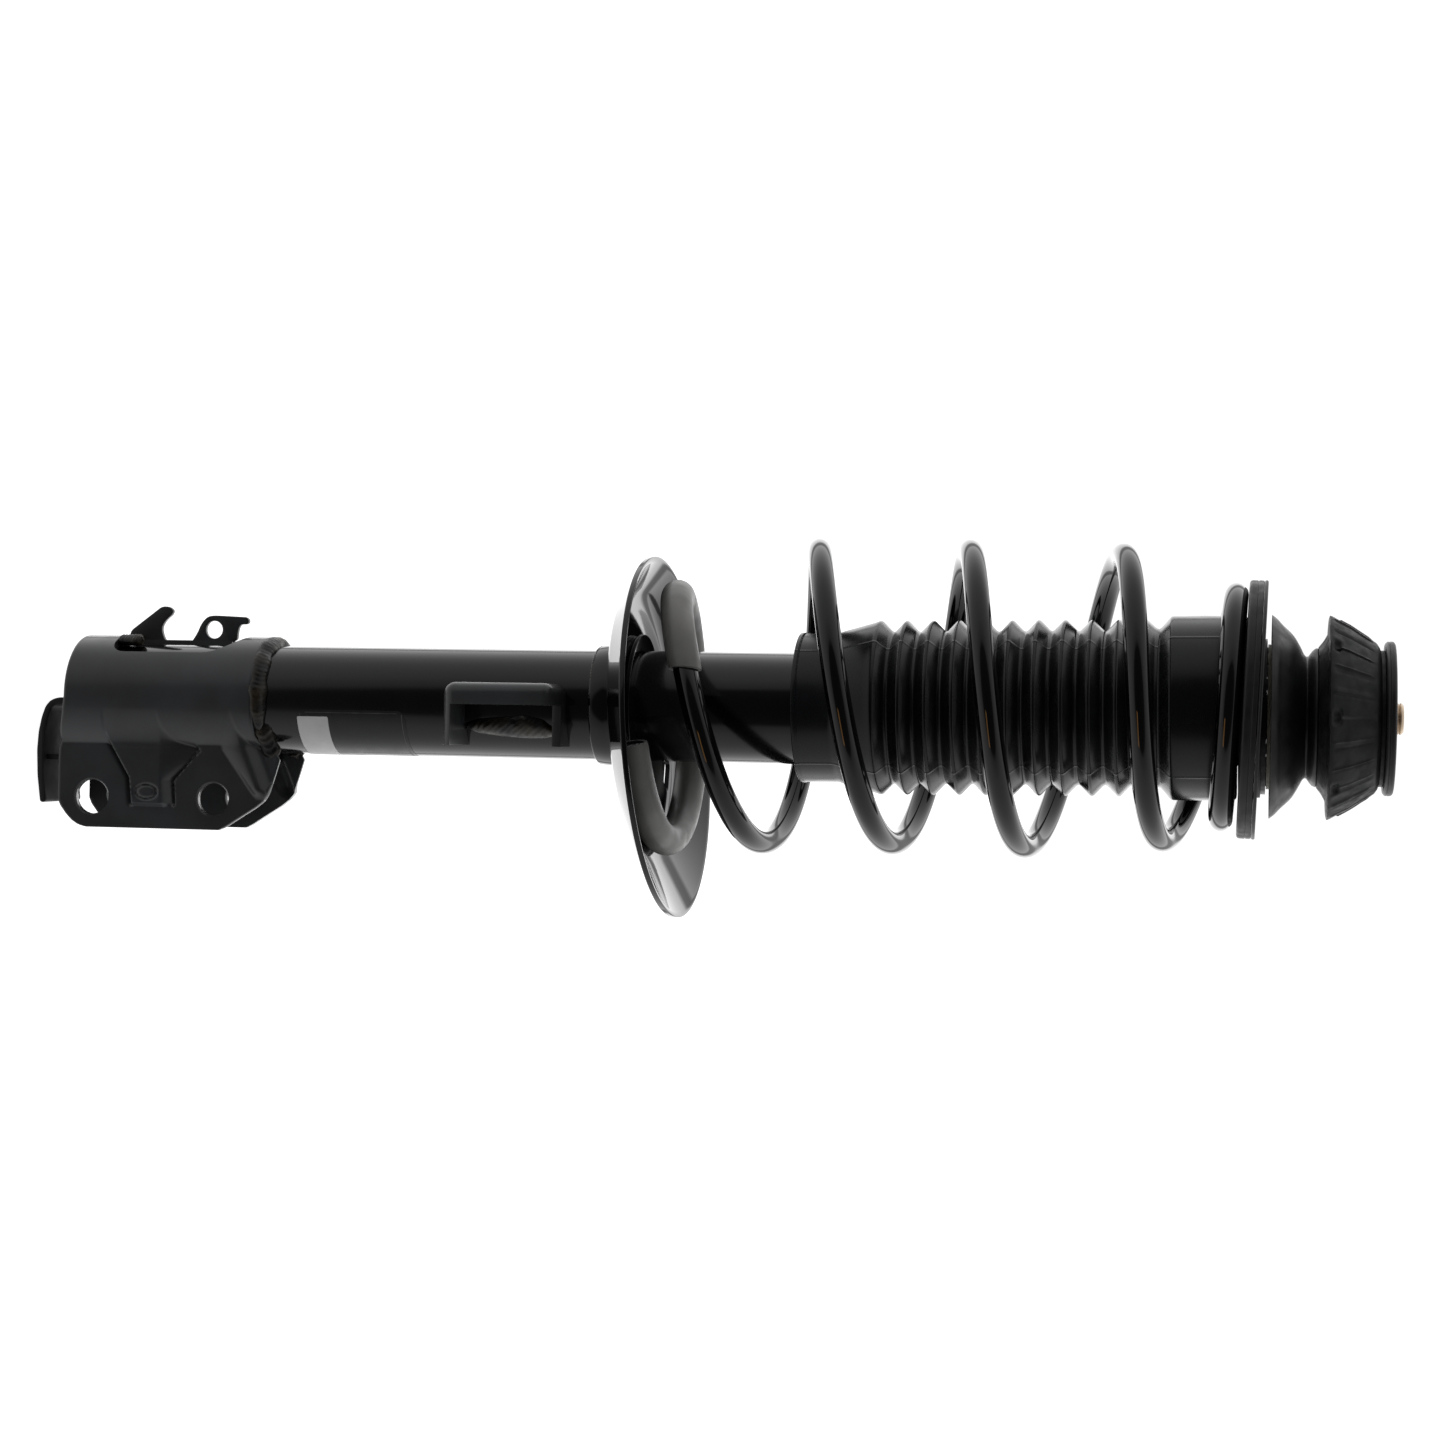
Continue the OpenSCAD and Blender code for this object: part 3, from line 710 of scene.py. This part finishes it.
def weld(path, up, width, height, ripple=1.6, seed=1.0, wild=0.25, depth=0.10):
    """A weld run along path(t), t from 0 to 1: up(t) leads out of the metal."""
    length = sum((Vector(path(i / 40)) - Vector(path((i + 1) / 40))).length for i in range(40))
    steps = max(12, int(length / 0.45))
    sides = 20
    rings = []
    for i in range(steps + 1):
        t = i / steps
        p = Vector(path(t))
        step = 0.5 / steps
        ahead = (Vector(path(min(t + step, 1))) - Vector(path(max(t - step, 0)))).normalized()
        out = Vector(up(t)).normalized()
        side = ahead.cross(out).normalized()
        end = math.sqrt(max(0.0, 1 - abs(2 * t - 1) ** 10)) + 0.02
        wave = 1 + depth * math.sin(2 * math.pi * t * length / ripple)
        swell = 1 + wild * rough((t * length, seed * 9, 0), 7, seed)
        ring = []
        for k in range(sides):
            b = 2 * math.pi * k / sides
            lag = 0.45 * (1 - abs(math.cos(b))) * ripple
            grain = 1 + 0.06 * rough(p + side * (6 * math.cos(b)), 1.6, seed)
            ring.append(p + side * (width / 2 * math.cos(b) * end * swell * grain)
                        + out * (height * math.sin(b) * end * swell * wave * grain)
                        + ahead * lag)
        rings.append(ring)
    return skin(rings, caps=True)


def round_tube(r, a0, a1, z, drop=0.0):
    """Path and outward direction along the tube's surface, from angle a0 to a1."""
    def path(t):
        a = math.radians(a0 + (a1 - a0) * t)
        return (r * math.cos(a), r * math.sin(a), z + drop * math.sin(3 * a))
    return path


def outwards(a0, a1, rise=0.6):
    def up(t):
        a = math.radians(a0 + (a1 - a0) * t)
        return (math.cos(a), math.sin(a), rise)
    return up


def tube_point(x, z, proud):
    """A point on the tube's near side, standing proud of it."""
    r = TUBE_R + proud
    return (x, -math.sqrt(max(r * r - x * x, 0)), z)


def lens_weld():
    """The wide fillet inside the link bracket: a lens on the tube's face."""
    top = [(0, 9.5), (0.15, 7.4), (0.4, 6.5), (0.65, 5.6), (0.85, 7.4), (1, 13)]
    low = [(0, 12), (0.15, 14), (0.4, 15.2), (0.65, 15.9), (0.85, 15.7), (1, 14.4)]
    steps, sides = 110, 26
    rings = []
    for i in range(steps + 1):
        t = i / steps
        x0, x1 = along(top, t), along(low, t)
        z = -416.4 + 43.6 * t
        full = math.sqrt(max(0.0, 1 - abs(2 * t - 1) ** 6))
        proud, under = [], []
        for k in range(sides + 1):
            u = k / sides
            x = x0 + (x1 - x0) * u
            swell = math.sin(math.pi * clamp(u, 0.02, 0.98)) ** 0.6 * full
            streak = math.sin(1.9 * z + 2.2 * x + 3 * rough((x, 0, z), 6, 3))
            height = 2.6 * swell + 0.16 * swell * streak + 0.35 * swell * rough((x, 3, z), 5, 4)
            proud.append(tube_point(x, z, height - 0.05))
            under.append(tube_point(x, z, -0.4))
        rings.append(proud + under[::-1])
    return skin(rings, caps=True)


weld_runs = [
    weld(round_tube(26.4, 57, 303, CLAMP_Z1 + 1.8, 0.4), outwards(57, 303), 8.4, 2.9, ripple=2.1,
         seed=1, wild=0.25, depth=0.018),
    weld(round_tube(26.4, 60, 300, -357.0, 0.3), outwards(60, 300, -0.5), 2.4, 1.2, seed=2),
    lens_weld(),
    # The mound where the hose bracket's pad meets the clamp
    weld(lambda t: (-27.2, -7.5 - 1.5 * t, -593.5 + 12.5 * t), lambda t: (-1, -0.32, 0), 7.5, 2.4,
         ripple=1.5, seed=5, wild=0.15),
    # Metal that ran down between the clamp and the ears
    weld(lambda t: (11 + 16 * t, -22.6 + 6.6 * t, -516.5 + 5 * t), lambda t: (0.45, -1, 0.3), 9, 2.2,
         ripple=3.4, seed=6, wild=0.3, depth=0.05),
    weld(lambda t: (11 + 16 * t, 22.6 - 6.6 * t, -516.5 + 5 * t), lambda t: (0.45, 1, 0.3), 9, 2.2,
         ripple=3.4, seed=7, wild=0.3, depth=0.05),
    weld(lambda t: (-22 + 1.5 * t, 14.5, -590 + 40 * t), lambda t: (-0.8, 1, 0), 4.4, 2.2, seed=8),
]
welds = make_mesh("weld_runs", *joined(weld_runs), sharp=60)
finish_piece(welds, weld_metal, "tube", ["weld_beads"])


# ---------------------------------------------------------------- label

def patch(name, r, a0, a1, z0, z1, corner, thick=0.06):
    """A thin film on the tube with rounded corners; angles run from +X towards -Y."""
    rows, columns = 40, 96
    rings = []
    for j in range(rows + 1):
        z = z0 + (z1 - z0) * j / rows
        gap = min(z - z0, z1 - z)
        inset = corner - math.sqrt(max(0.0, corner ** 2 - (corner - gap) ** 2)) if gap < corner else 0
        inset = math.degrees(inset / r)
        line = []
        for k in range(columns + 1):
            a = -math.radians(a0 + inset + (a1 - a0 - 2 * inset) * k / columns)
            line.append((math.cos(a), math.sin(a)))
        rings.append([(r * c, r * s, z) for c, s in line]
                     + [((r - thick) * c, (r - thick) * s, z) for c, s in reversed(line)])
    return make_mesh(name, *skin(rings, caps=True), sharp=60)


LABEL_R = TUBE_R + 0.10
film = patch("label_sheet", LABEL_R, -34, 80, -498, -445, 4.5, 0.09)
border = merge("label_border", [
    patch("edge_a", LABEL_R + 0.03, -30, 76, -496.4, -496.0, 0.1),
    patch("edge_b", LABEL_R + 0.03, -30, 76, -447.0, -446.6, 0.1),
    patch("edge_c", LABEL_R + 0.03, 76.6, 77.4, -494, -449, 0.1),
    patch("edge_d", LABEL_R + 0.03, -31.4, -30.6, -494, -449, 0.1)])
panel = patch("label_panel", LABEL_R + 0.035, -20, 72.5, -497.6, -482.6, 0.6, 0.05)
finish_piece(film, label_film, "tube", ["label"])
finish_piece(border, label_line, "tube", ())
finish_piece(panel, label_white, "tube", ())


# ---------------------------------------------------------------- lower spring seat

SEAT_X, SEAT_Z = 14, -325
POCKET_X = 7.5
FLOOR_Z = -12.4
SEAT_T = 2.2
SEAT_R = 83.5
in_seat = (Matrix.Translation((SEAT_X, 0, SEAT_Z)) @ Matrix.Rotation(math.radians(-4.8), 4, "Y")
           @ Matrix.Rotation(math.radians(1.2), 4, "X"))

dish_outline = rounded([
    (31, FLOOR_Z, 0), (59, FLOOR_Z, 6), (SEAT_R - 1.8, -0.2, 1.2), (SEAT_R, 0, 0.6),
    (SEAT_R, -2.6, 0.7), (SEAT_R - 1.2, -2.9, 0.8), (60.5, FLOOR_Z - SEAT_T, 7),
    (31, FLOOR_Z - SEAT_T, 0)], 7)


def dish(sides=256):
    """The dish: its floor is centred nearer the damper than its rim is."""
    rings = []
    for i in range(sides):
        a = 2 * math.pi * i / sides
        ring = []
        for r, z in dish_outline:
            shift = (POCKET_X - SEAT_X) * (1 - ease((r - 58) / 24))
            reach = r
            if r < 40:
                # The inner edge of the floor closes on the tube
                cx = SEAT_X + shift
                reach = math.sqrt((TUBE_R + 0.2) ** 2 - (cx * math.sin(a)) ** 2) - cx * math.cos(a)
            ring.append(in_seat @ Vector((shift + reach * math.cos(a), reach * math.sin(a), z)))
        rings.append(ring)
    return skin(rings, around=True)


seat_dish = make_mesh("seat_dish", *dish(), sharp=45)
DRAIN_ANGLES, DRAIN_R = (60, 300), 47
drain_slot = rounded([(-8, -4.5, 3), (8, -4.5, 3), (8, 4.5, 3), (-8, 4.5, 3)], 8)
for angle in DRAIN_ANGLES:
    a = math.radians(angle)
    spot = in_seat @ Matrix.Translation((POCKET_X - SEAT_X + DRAIN_R * math.cos(a),
                                         DRAIN_R * math.sin(a), FLOOR_Z))
    spot = spot @ Matrix.Rotation(a + math.pi / 2, 4, "Z")
    cut(seat_dish, drawn("drain_cutter", [drain_slot], 12, spot, 0.01))
smooth(seat_dish, 40)
finish_piece(seat_dish, gloss_coat, "tube", ["lower_spring_seat"])

collar = turned("seat_neck", rounded([
    (TUBE_R, -357.8, 0.2), (27.6, -357.8, 1.2), (28.1, -353, 2), (28.1, -345.5, 3), (33, -339.6, 1.5),
    (33, -337.4, 0.4), (TUBE_R, -337.4, 0.2)]), sides=160)
finish_piece(collar, gloss_coat, "tube", ["seat_collar"])


# ---------------------------------------------------------------- coil spring and its sleeve

WIRE_R = 5.48
SLEEVE_R = 7.5
COIL_START, COIL_END, SLEEVE_END = 102, 2092, 429.5
COIL_Z0, COIL_R, COIL_PITCH = -332, 66.5, 64.33


def rise(a):
    low0, low1, top0, top1 = 130, 430, 1660, 1815
    low = clamp(a - low0, 0, low1 - low0)
    mid = clamp(a - low1, 0, top0 - low1)
    top = clamp(a - top0, 0, top1 - top0)
    return low * low / (2 * (low1 - low0)) + mid + top - top * top / (2 * (top1 - top0))


def coil_radius(a):
    if a < 900:
        return fade(56.3, COIL_R, 380, 640, a)
    return COIL_R - 16.4 * clamp((a - 1300) / 500, 0, 1) ** 2


def coil_centre(a):
    return fade(5.2, -6.2, 360, 680, a) if a < 900 else fade(-6.2, -4, 1440, 1640, a)


def coil_lean(a):
    return min(max(-6 + 12 * (a - 500) / 1000, -6), fade(6, 2.6, 1600, 1800, a))


def coil_point(a):
    c, s = math.cos(math.radians(a)), math.sin(math.radians(a))
    r = coil_radius(a)
    return Vector((coil_centre(a) - r * c, -r * s,
                   COIL_Z0 + COIL_PITCH * rise(a) / 360 + coil_lean(a) * c))


def wire_ring(a, r, sides, slant=0.0):
    """A ring round the wire at angle a; slant skews it along the wire."""
    p = coil_point(a)
    ahead = (coil_point(a + 1) - coil_point(a - 1)).normalized()
    out = Vector((-math.cos(math.radians(a)), -math.sin(math.radians(a)), 0))
    u = (out - ahead * out.dot(ahead)).normalized()
    v = ahead.cross(u)
    ring = []
    for k in range(sides):
        b = 2 * math.pi * k / sides
        ring.append(p + u * (r * math.cos(b)) + v * (r * math.sin(b))
                    + ahead * (slant * math.cos(b + 0.9)))
    return ring


def spread_angles(start, end, step):
    count = round((end - start) / step)
    return [start + (end - start) * i / count for i in range(count + 1)]


wire_sides = 32
wire = [(a, WIRE_R - 0.02) for a in spread_angles(COIL_START + 1, COIL_END - 1, 2.5)]
wire = [(COIL_START, WIRE_R - 1.2), (COIL_START + 0.4, WIRE_R - 0.4)] + wire \
    + [(COIL_END - 0.4, WIRE_R - 0.4), (COIL_END, WIRE_R - 1.2)]
wire_rings = [wire_ring(a, r, wire_sides) for a, r in wire]
spring = make_mesh("spring_wire", *skin(wire_rings, caps=True), sharp=50)

SLEEVE_SKEW = 2.6


def skew(a):
    """The sleeve's end is cut off slanting."""
    return SLEEVE_SKEW * clamp((a - SLEEVE_END + 8) / 8, 0, 1)


sleeve_steps = spread_angles(COIL_START, SLEEVE_END, 2.5)
rings = []
for a in sleeve_steps:
    rings.append(wire_ring(a, SLEEVE_R - 0.1 * (1 + rough((a, 0, 0), 30)), 40, skew(a)))
rings[0] = wire_ring(COIL_START, SLEEVE_R - 0.5, 40)
rings[-1] = wire_ring(SLEEVE_END, SLEEVE_R - 0.4, 40, SLEEVE_SKEW)
rings += [wire_ring(a, WIRE_R + 0.15, 40, skew(a)) for a in reversed(sleeve_steps)]
sleeve = make_mesh("sleeve_tube", *skin(rings, around=True), sharp=50)
finish_piece(sleeve, sleeve_plastic, "tube", ["spring_sleeve"])


# ---------------------------------------------------------------- upper seat, boot, bump stop

in_top = Matrix.Translation((-2.9, 0, -57.1)) @ Matrix.Rotation(math.radians(2.1), 4, "Y")
in_boot = (Matrix.Translation((-3.4, 0, -80)) @ Matrix.Rotation(math.radians(-0.9), 4, "Y")
           @ Matrix.Translation((0, 0, 80)))

seat_plate = turned("upper_seat_plate", rounded([
    (37.5, -1.55, 0.3), (56.6, -1.55, 0.3), (57.2, -1.6, 0.3), (57.7, -0.8, 0.5), (57.2, 0, 0.4),
    (37.5, 0, 0.3)]), sides=200, place=in_top)
inner_plate = turned("upper_seat_hub", rounded([
    (14, -58.6, 0.3), (36, -58.6, 0.3), (36, -57.15, 0.3), (14, -57.15, 0.3)]), sides=96)
upper_seat_plate = merge("upper_seat_disc", [seat_plate, inner_plate])
finish_piece(upper_seat_plate, cap_paint, "upper_seat", ["upper_spring_seat"])

insulator = turned("insulator_ring", rounded([
    (26, -1.65, 0.3), (56.9, -1.65, 0.3), (57.4, -2.2, 0.6), (57.4, -4.0, 0.5), (57.0, -4.3, 0.3),
    (57.4, -4.6, 0.5), (57.4, -7.4, 1.0), (56.4, -8.15, 1.0), (30, -8.15, 1), (26, -5, 1)]),
    sides=220, place=in_top)
skirt = turned("insulator_skirt", rounded([(30.5, -60.6, 0.2), (40.3, -60.6, 0.2), (40.3, -67.3, 0.6),
                                           (30.5, -67.3, 0.6)]), sides=160, place=in_boot)
insulator = merge("insulator_ring", [insulator, skirt])
finish_piece(insulator, insulator_rubber, "upper_seat", ["upper_insulator"])

BOOT_T = 1.6
BOOT_TOP, COLLAR_Z, FIRST_FOLD = -67.8, -96.4, -107.8
FOLD_PITCH, FOLDS, FOLD_R, VALLEY_R = 11.9, 11, 39.5, 34.6
CUFF_Z, BOOT_END = -246, -263.5
SEAM_ANGLES = (222, 318, 42, 138)

last_fold = FIRST_FOLD - (FOLDS - 1) * FOLD_PITCH
boot_outer = [(26.5, BOOT_TOP, 0), (41.1, BOOT_TOP, 2.4), (41.1, COLLAR_Z, 1.4),
              (40.2, COLLAR_Z - 0.8, 1.0), (VALLEY_R, COLLAR_Z - 5.6, 2.2)]
for i in range(FOLDS):
    z = FIRST_FOLD - i * FOLD_PITCH
    boot_outer += [(FOLD_R, z + 0.55, 0.7), (FOLD_R, z - 0.55, 0.7)]
    if i < FOLDS - 1:
        valley = z - FOLD_PITCH / 2
        boot_outer += [(VALLEY_R, valley + 0.7, 1.1), (VALLEY_R, valley - 0.7, 1.1)]
boot_outer += [(38.6, last_fold - 3.2, 1.5), (35.0, CUFF_Z + 2.5, 2.0), (34.0, CUFF_Z, 1.2),
               (34.0, BOOT_END + 2.4, 0.6), (34.3, BOOT_END + 1.8, 0.4), (34.3, BOOT_END, 0.5)]
boot_inner = [(r - BOOT_T, z, w) for r, z, w in reversed(boot_outer[2:])]
boot_neck = [(41.1 - BOOT_T, BOOT_TOP - BOOT_T, 1.0), (26.5, BOOT_TOP - BOOT_T, 0.3)]


def boot_shape(a, r, z):
    """The mould's parting lines, and the moulding's slight unevenness."""
    seam = max(math.exp(-((a - s) / 0.45) ** 2) for s in SEAM_ANGLES)
    return r + 0.22 * seam + 0.04 * rough_round(a, 40, z, 28)


boot = turned("boot_bellows", rounded(boot_outer + boot_inner + boot_neck, 4), sides=216,
              place=in_boot, shape=boot_shape, seams=SEAM_ANGLES, sharp=45)

bump = turned("bump_foam_stop", rounded([
    (10.5, -59.8, 0.3), (21, -59.8, 1.2), (22, -61.2, 1.5), (22, -74, 1.5), (18.5, -77.5, 1.6),
    (22.4, -82, 3.4), (22.4, -90, 3.4), (17.5, -94.5, 1.6), (20, -100, 3), (19, -106, 3),
    (15.5, -110, 1.6), (16.5, -116, 3), (14, -121, 1.4), (10.5, -121, 0.5)]), sides=120)


# ---------------------------------------------------------------- top mount

def bell_shape(a, r, z):
    if z < -35 and r > 27:
        return r + 0.25 * rough_round(a, 9, z, 6)
    return r


bell = turned("mount_bell_shell", rounded([
    (12, -33, 0), (31, -33, 1.2), (30.0, -35.3, 2), (26.6, -37.6, 1.6), (27.6, -39.0, 1.2),
    (31.8, -41.1, 3), (36.3, -43.8, 3), (40.7, -48.6, 3), (43.2, -50.6, 1.5), (45.3, -53.3, 0.4),
    (43.4, -53.3, 0.4), (37, -47.4, 2), (34.7, -46.5, 1), (20, -46.5, 0.4), (20, -45, 0.2),
    (12, -45, 0)]), sides=200, shape=bell_shape)
finish_piece(bell, bell_paint, "upper_seat", ["mount_bell"])

RIB_STEP = 15.0


def rubber_shape(a, r, z):
    """Raised lines down the cone, pockets at its lip and an uneven moulded skin."""
    on_cone = ease((z + 27.6) / 2.2) * (1 - ease((z + 11.5) / 2.5)) * ease((r - 31) / 2)
    if on_cone <= 0:
        return r
    off = (a + RIB_STEP / 2) % RIB_STEP - RIB_STEP / 2
    centre = off + 0.9 * math.sin(a)
    line = math.exp(-(centre / 0.75) ** 2) * 0.55 - math.exp(-((centre - 2.2) / 1.1) ** 2) * 0.35
    pocket_at = (a + 22.5) % 45 - 22.5
    pocket = math.exp(-((pocket_at / 4.0) ** 4)) * math.exp(-(((z + 25.6) / 1.6) ** 4)) * 1.9
    uneven = 0.22 * rough_round(a, 30, z, 5)
    return r + (line + uneven) * on_cone - pocket


cone = turned("mount_cone", rounded([
    (12, -7.2, 0), (16, -7.2, 0.3), (18, -4.5, 0.3), (30, -4.5, 0.4), (30, -6.4, 0.4),
    (31, -6.6, 0.5), (33.2, -8, 1.6)] + [(33.2 + 7.8 * t, -8 - 12 * t, 0) for t in
    [i / 14 for i in range(1, 15)]] + [(41 + 4.1 * t, -20 - 7.6 * t, 0) for t in
    [i / 14 for i in range(1, 14)]] + [(45.2, -28.3, 0.5), (43.6, -28.7, 0.6), (37.3, -28.9, 1.2),
    (33.8, -30.8, 1.2), (31, -33, 0.3), (12, -33, 0)]), sides=480, shape=rubber_shape, sharp=50)
finish_piece(cone, mount_rubber_look, "rod_mount", ["mount_rubber"])

disc = turned("mount_disc", rounded([
    (7.3, -7.15, 0.2), (15.9, -7.15, 0.3), (17.9, -4.45, 0.3), (33, -4.45, 0.5), (34, -3.4, 0.7),
    (34, -2.9, 0.2), (33.7, -2.7, 0.1), (34, -2.5, 0.2), (34, -0.9, 0.8), (33, 0, 0.8), (16, 0, 0.8),
    (14, -1.5, 0.6), (13.5, -4.65, 0.4), (7.3, -4.65, 0.2)]), sides=200)
finish_piece(disc, cap_paint, "rod_mount", ["mount_cap"])

thread = []
for i in range(3):
    top = 2.9 - 1.15 * i
    thread += [(7.0, top, 0.15), (7.0, top - 0.35, 0.15), (6.45, top - 0.6, 0.1), (6.45, top - 0.8, 0.1)]
rod_top = [(0.4, 4.1, 0), (6.0, 4.1, 0.4), (6.9, 3.1, 0.2)] + thread \
    + [(6.5, -0.6, 0), (6.5, -7.2, 0), (7, -7.4, 0), (7, -45, 0)]
rod_low = [(10, -45, 0.8), (10, -252, 0.3), (6, -252, 0), (6, -280, 0.4), (0.4, -280, 0)]
stud = turned("rod_stud_end", rounded(rod_top + [(0.4, -45, 0)]), sides=96)
rod = turned("rod_shaft", rounded([(0.4, -45, 0)] + rod_low), sides=160)
finish_piece(stud, zinc_yellow, "rod_mount", ())
finish_piece(rod, rod_chrome, "rod_mount", ["piston_rod"])


# ---------------------------------------------------------------- CAD nodes shown as they are

for node in ("base_valve", "pressure_tube", "rod_guide", "valve_discs", "piston", "mount_core",
             "rebound_stop", "bearing_balls"):
    keep_node(node, steel)
for node in ("bearing_lower_race", "bearing_upper_race"):
    keep_node(node, dark_steel)
keep_node("guide_bush", bush_bronze)
keep_node("oil_seal", mount_rubber_look)
keep_node("piston_ring", bush_bronze)
keep_node("piston_nut", zinc_yellow)
keep_node("rod_nut", zinc_yellow)
keep_node("bearing_cage", cage_plastic)


# ---------------------------------------------------------------- spring, boot and bump stop

def bend(obj, look, node, shares):
    """Gives obj its look in place of the CAD node and writes its placement into its mesh; shares is not
    used.
    """
    finish_piece(obj, look, None, [node])
    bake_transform(obj)


def shares_by_height(obj, share):
    return [clamp(share(v.co.z / MM), 0, 1) for v in obj.data.vertices]


# Each ring of the wire gets one share, from its own height in the spring
spring_low, spring_high = coil_point(COIL_START).z, coil_point(COIL_END - 280).z
wire_shares = []
for a, _ in wire:
    share = clamp((coil_point(a).z - spring_low) / (spring_high - spring_low), 0, 1)
    wire_shares += [share] * wire_sides
bend(spring, gloss_coat, "coil_spring", wire_shares)

BOOT_MOVE = 0.58
bend(boot, boot_plastic, "dust_boot", shares_by_height(
    boot, lambda z: 1 - BOOT_MOVE * ease((BOOT_TOP - z) / (BOOT_TOP - CUFF_Z))))
BUMP_MOVE, BUMP_TOP, BUMP_END = 0.272, -59.8, -121
bend(bump, bump_foam, "bump_stop", shares_by_height(
    bump, lambda z: 1 - BUMP_MOVE * clamp((BUMP_TOP - z) / (BUMP_TOP - BUMP_END), 0, 1)))


# ---------------------------------------------------------------- camera

CAMERA_AT = Vector((0.007, -1.24295, -0.0600))
LENS = 68.51
forward = Vector((0, 0.9818, -0.19)).normalized()
level_right = Vector((0, 0.19, 0.9818)).normalized()
roll = math.radians(1.06)
down = Vector((1, 0, 0))
right = level_right * math.cos(roll) - down * math.sin(roll)
up = -(level_right * math.sin(roll) + down * math.cos(roll))
camera_data = bpy.data.cameras.new("camera")
camera_data.lens = LENS
camera_data.sensor_width = 36
camera_data.clip_start = 0.05
camera = add_object("camera", camera_data)
camera.matrix_world = Matrix((
    (right.x, up.x, -forward.x, CAMERA_AT.x), (right.y, up.y, -forward.y, CAMERA_AT.y),
    (right.z, up.z, -forward.z, CAMERA_AT.z), (0, 0, 0, 1)))
bpy.context.scene.camera = camera


# ---------------------------------------------------------------- studio

def studio_world():
    """A tent that is dark round the camera and brighter the further a reflection turns from it,
    with a dimmer band near the back. The camera itself sees plain white."""
    world = bpy.data.worlds.new("studio")
    world.use_nodes = True
    tree = world.node_tree
    tree.nodes.clear()
    coords = tree.nodes.new("ShaderNodeTexCoord")
    dot = tree.nodes.new("ShaderNodeVectorMath")
    dot.operation = "DOT_PRODUCT"
    dot.inputs[1].default_value = (0, -0.9818, 0.19)
    tree.links.new(coords.outputs["Generated"], dot.inputs[0])
    place = tree.nodes.new("ShaderNodeMapRange")
    place.inputs["From Min"].default_value = 1
    place.inputs["From Max"].default_value = -1
    tree.links.new(dot.outputs["Value"], place.inputs["Value"])
    ramp = tree.nodes.new("ShaderNodeValToRGB")
    ramp.color_ramp.interpolation = "LINEAR"
    stops = [(0, 0.03), (24, 0.035), (38, 0.05), (44, 0.26), (60, 0.42), (90, 0.56), (106, 0.72),
             (128, 1.1), (140, 1.3), (142.5, 0.5), (147.5, 0.5), (151, 1.6), (180, 1.7)]
    brightest = 2.4
    elements = ramp.color_ramp.elements
    for i, (angle, value) in enumerate(stops):
        where = (1 - math.cos(math.radians(angle))) / 2
        element = elements[i] if i < 2 else elements.new(where)
        element.position = where
        element.color = (*[value / brightest] * 3, 1)
    tree.links.new(place.outputs["Result"], ramp.inputs["Fac"])
    tent = tree.nodes.new("ShaderNodeBackground")
    tent.inputs["Strength"].default_value = brightest
    tree.links.new(ramp.outputs["Color"], tent.inputs["Color"])
    plain = tree.nodes.new("ShaderNodeBackground")
    plain.inputs["Strength"].default_value = 1.05
    plain.inputs["Color"].default_value = (1, 1, 1, 1)
    seen = tree.nodes.new("ShaderNodeLightPath")
    mix = tree.nodes.new("ShaderNodeMixShader")
    tree.links.new(seen.outputs["Is Camera Ray"], mix.inputs["Fac"])
    tree.links.new(tent.outputs["Background"], mix.inputs[1])
    tree.links.new(plain.outputs["Background"], mix.inputs[2])
    out = tree.nodes.new("ShaderNodeOutputWorld")
    tree.links.new(mix.outputs["Shader"], out.inputs["Surface"])
    bpy.context.scene.world = world


studio_world()


def lamp(name, direction, distance, size, colour, watts):
    """An area lamp that shines at the middle of the strut."""
    data = bpy.data.lights.new(name, "AREA")
    data.shape = "RECTANGLE"
    data.size, data.size_y = size
    data.color = colour
    data.energy = watts
    obj = add_object(name, data)
    middle = Vector((0, 0, -0.3))
    way = Vector(direction).normalized()
    obj.location = middle + way * distance
    obj.rotation_mode = "QUATERNION"
    obj.rotation_quaternion = way.to_track_quat("Z", "Y")
    obj.visible_camera = False
    return obj


warm_lamp = lamp("warm_lamp", (0.39, -0.91, -0.16), 2.2, (1.0, 0.34), (1.0, 0.50, 0.16), 1.5)
lit = bpy.data.collections.new("lit_by_warm_lamp")
lit.objects.link(spring)
warm_lamp.light_linking.receiver_collection = lit

floor_mesh = bpy.data.meshes.new("floor")
floor_size = 6.0
floor_z = cad_low.z - 0.0005
floor_mesh.from_pydata([(-floor_size, -floor_size, floor_z), (floor_size, -floor_size, floor_z),
                        (floor_size, floor_size, floor_z), (-floor_size, floor_size, floor_z)], [],
                       [(0, 1, 2, 3)])
floor = add_object("floor", floor_mesh)
floor_mesh.materials.append(textured(
    "pale_floor", grey(0.75), 0.9, (400, 3, grey(0.74), grey(0.76)),
    Emission_Color=(1, 1, 1, 1), Emission_Strength=0.95))
floor.visible_glossy = False
floor.visible_diffuse = False

bpy.context.scene.view_settings.view_transform = "Standard"
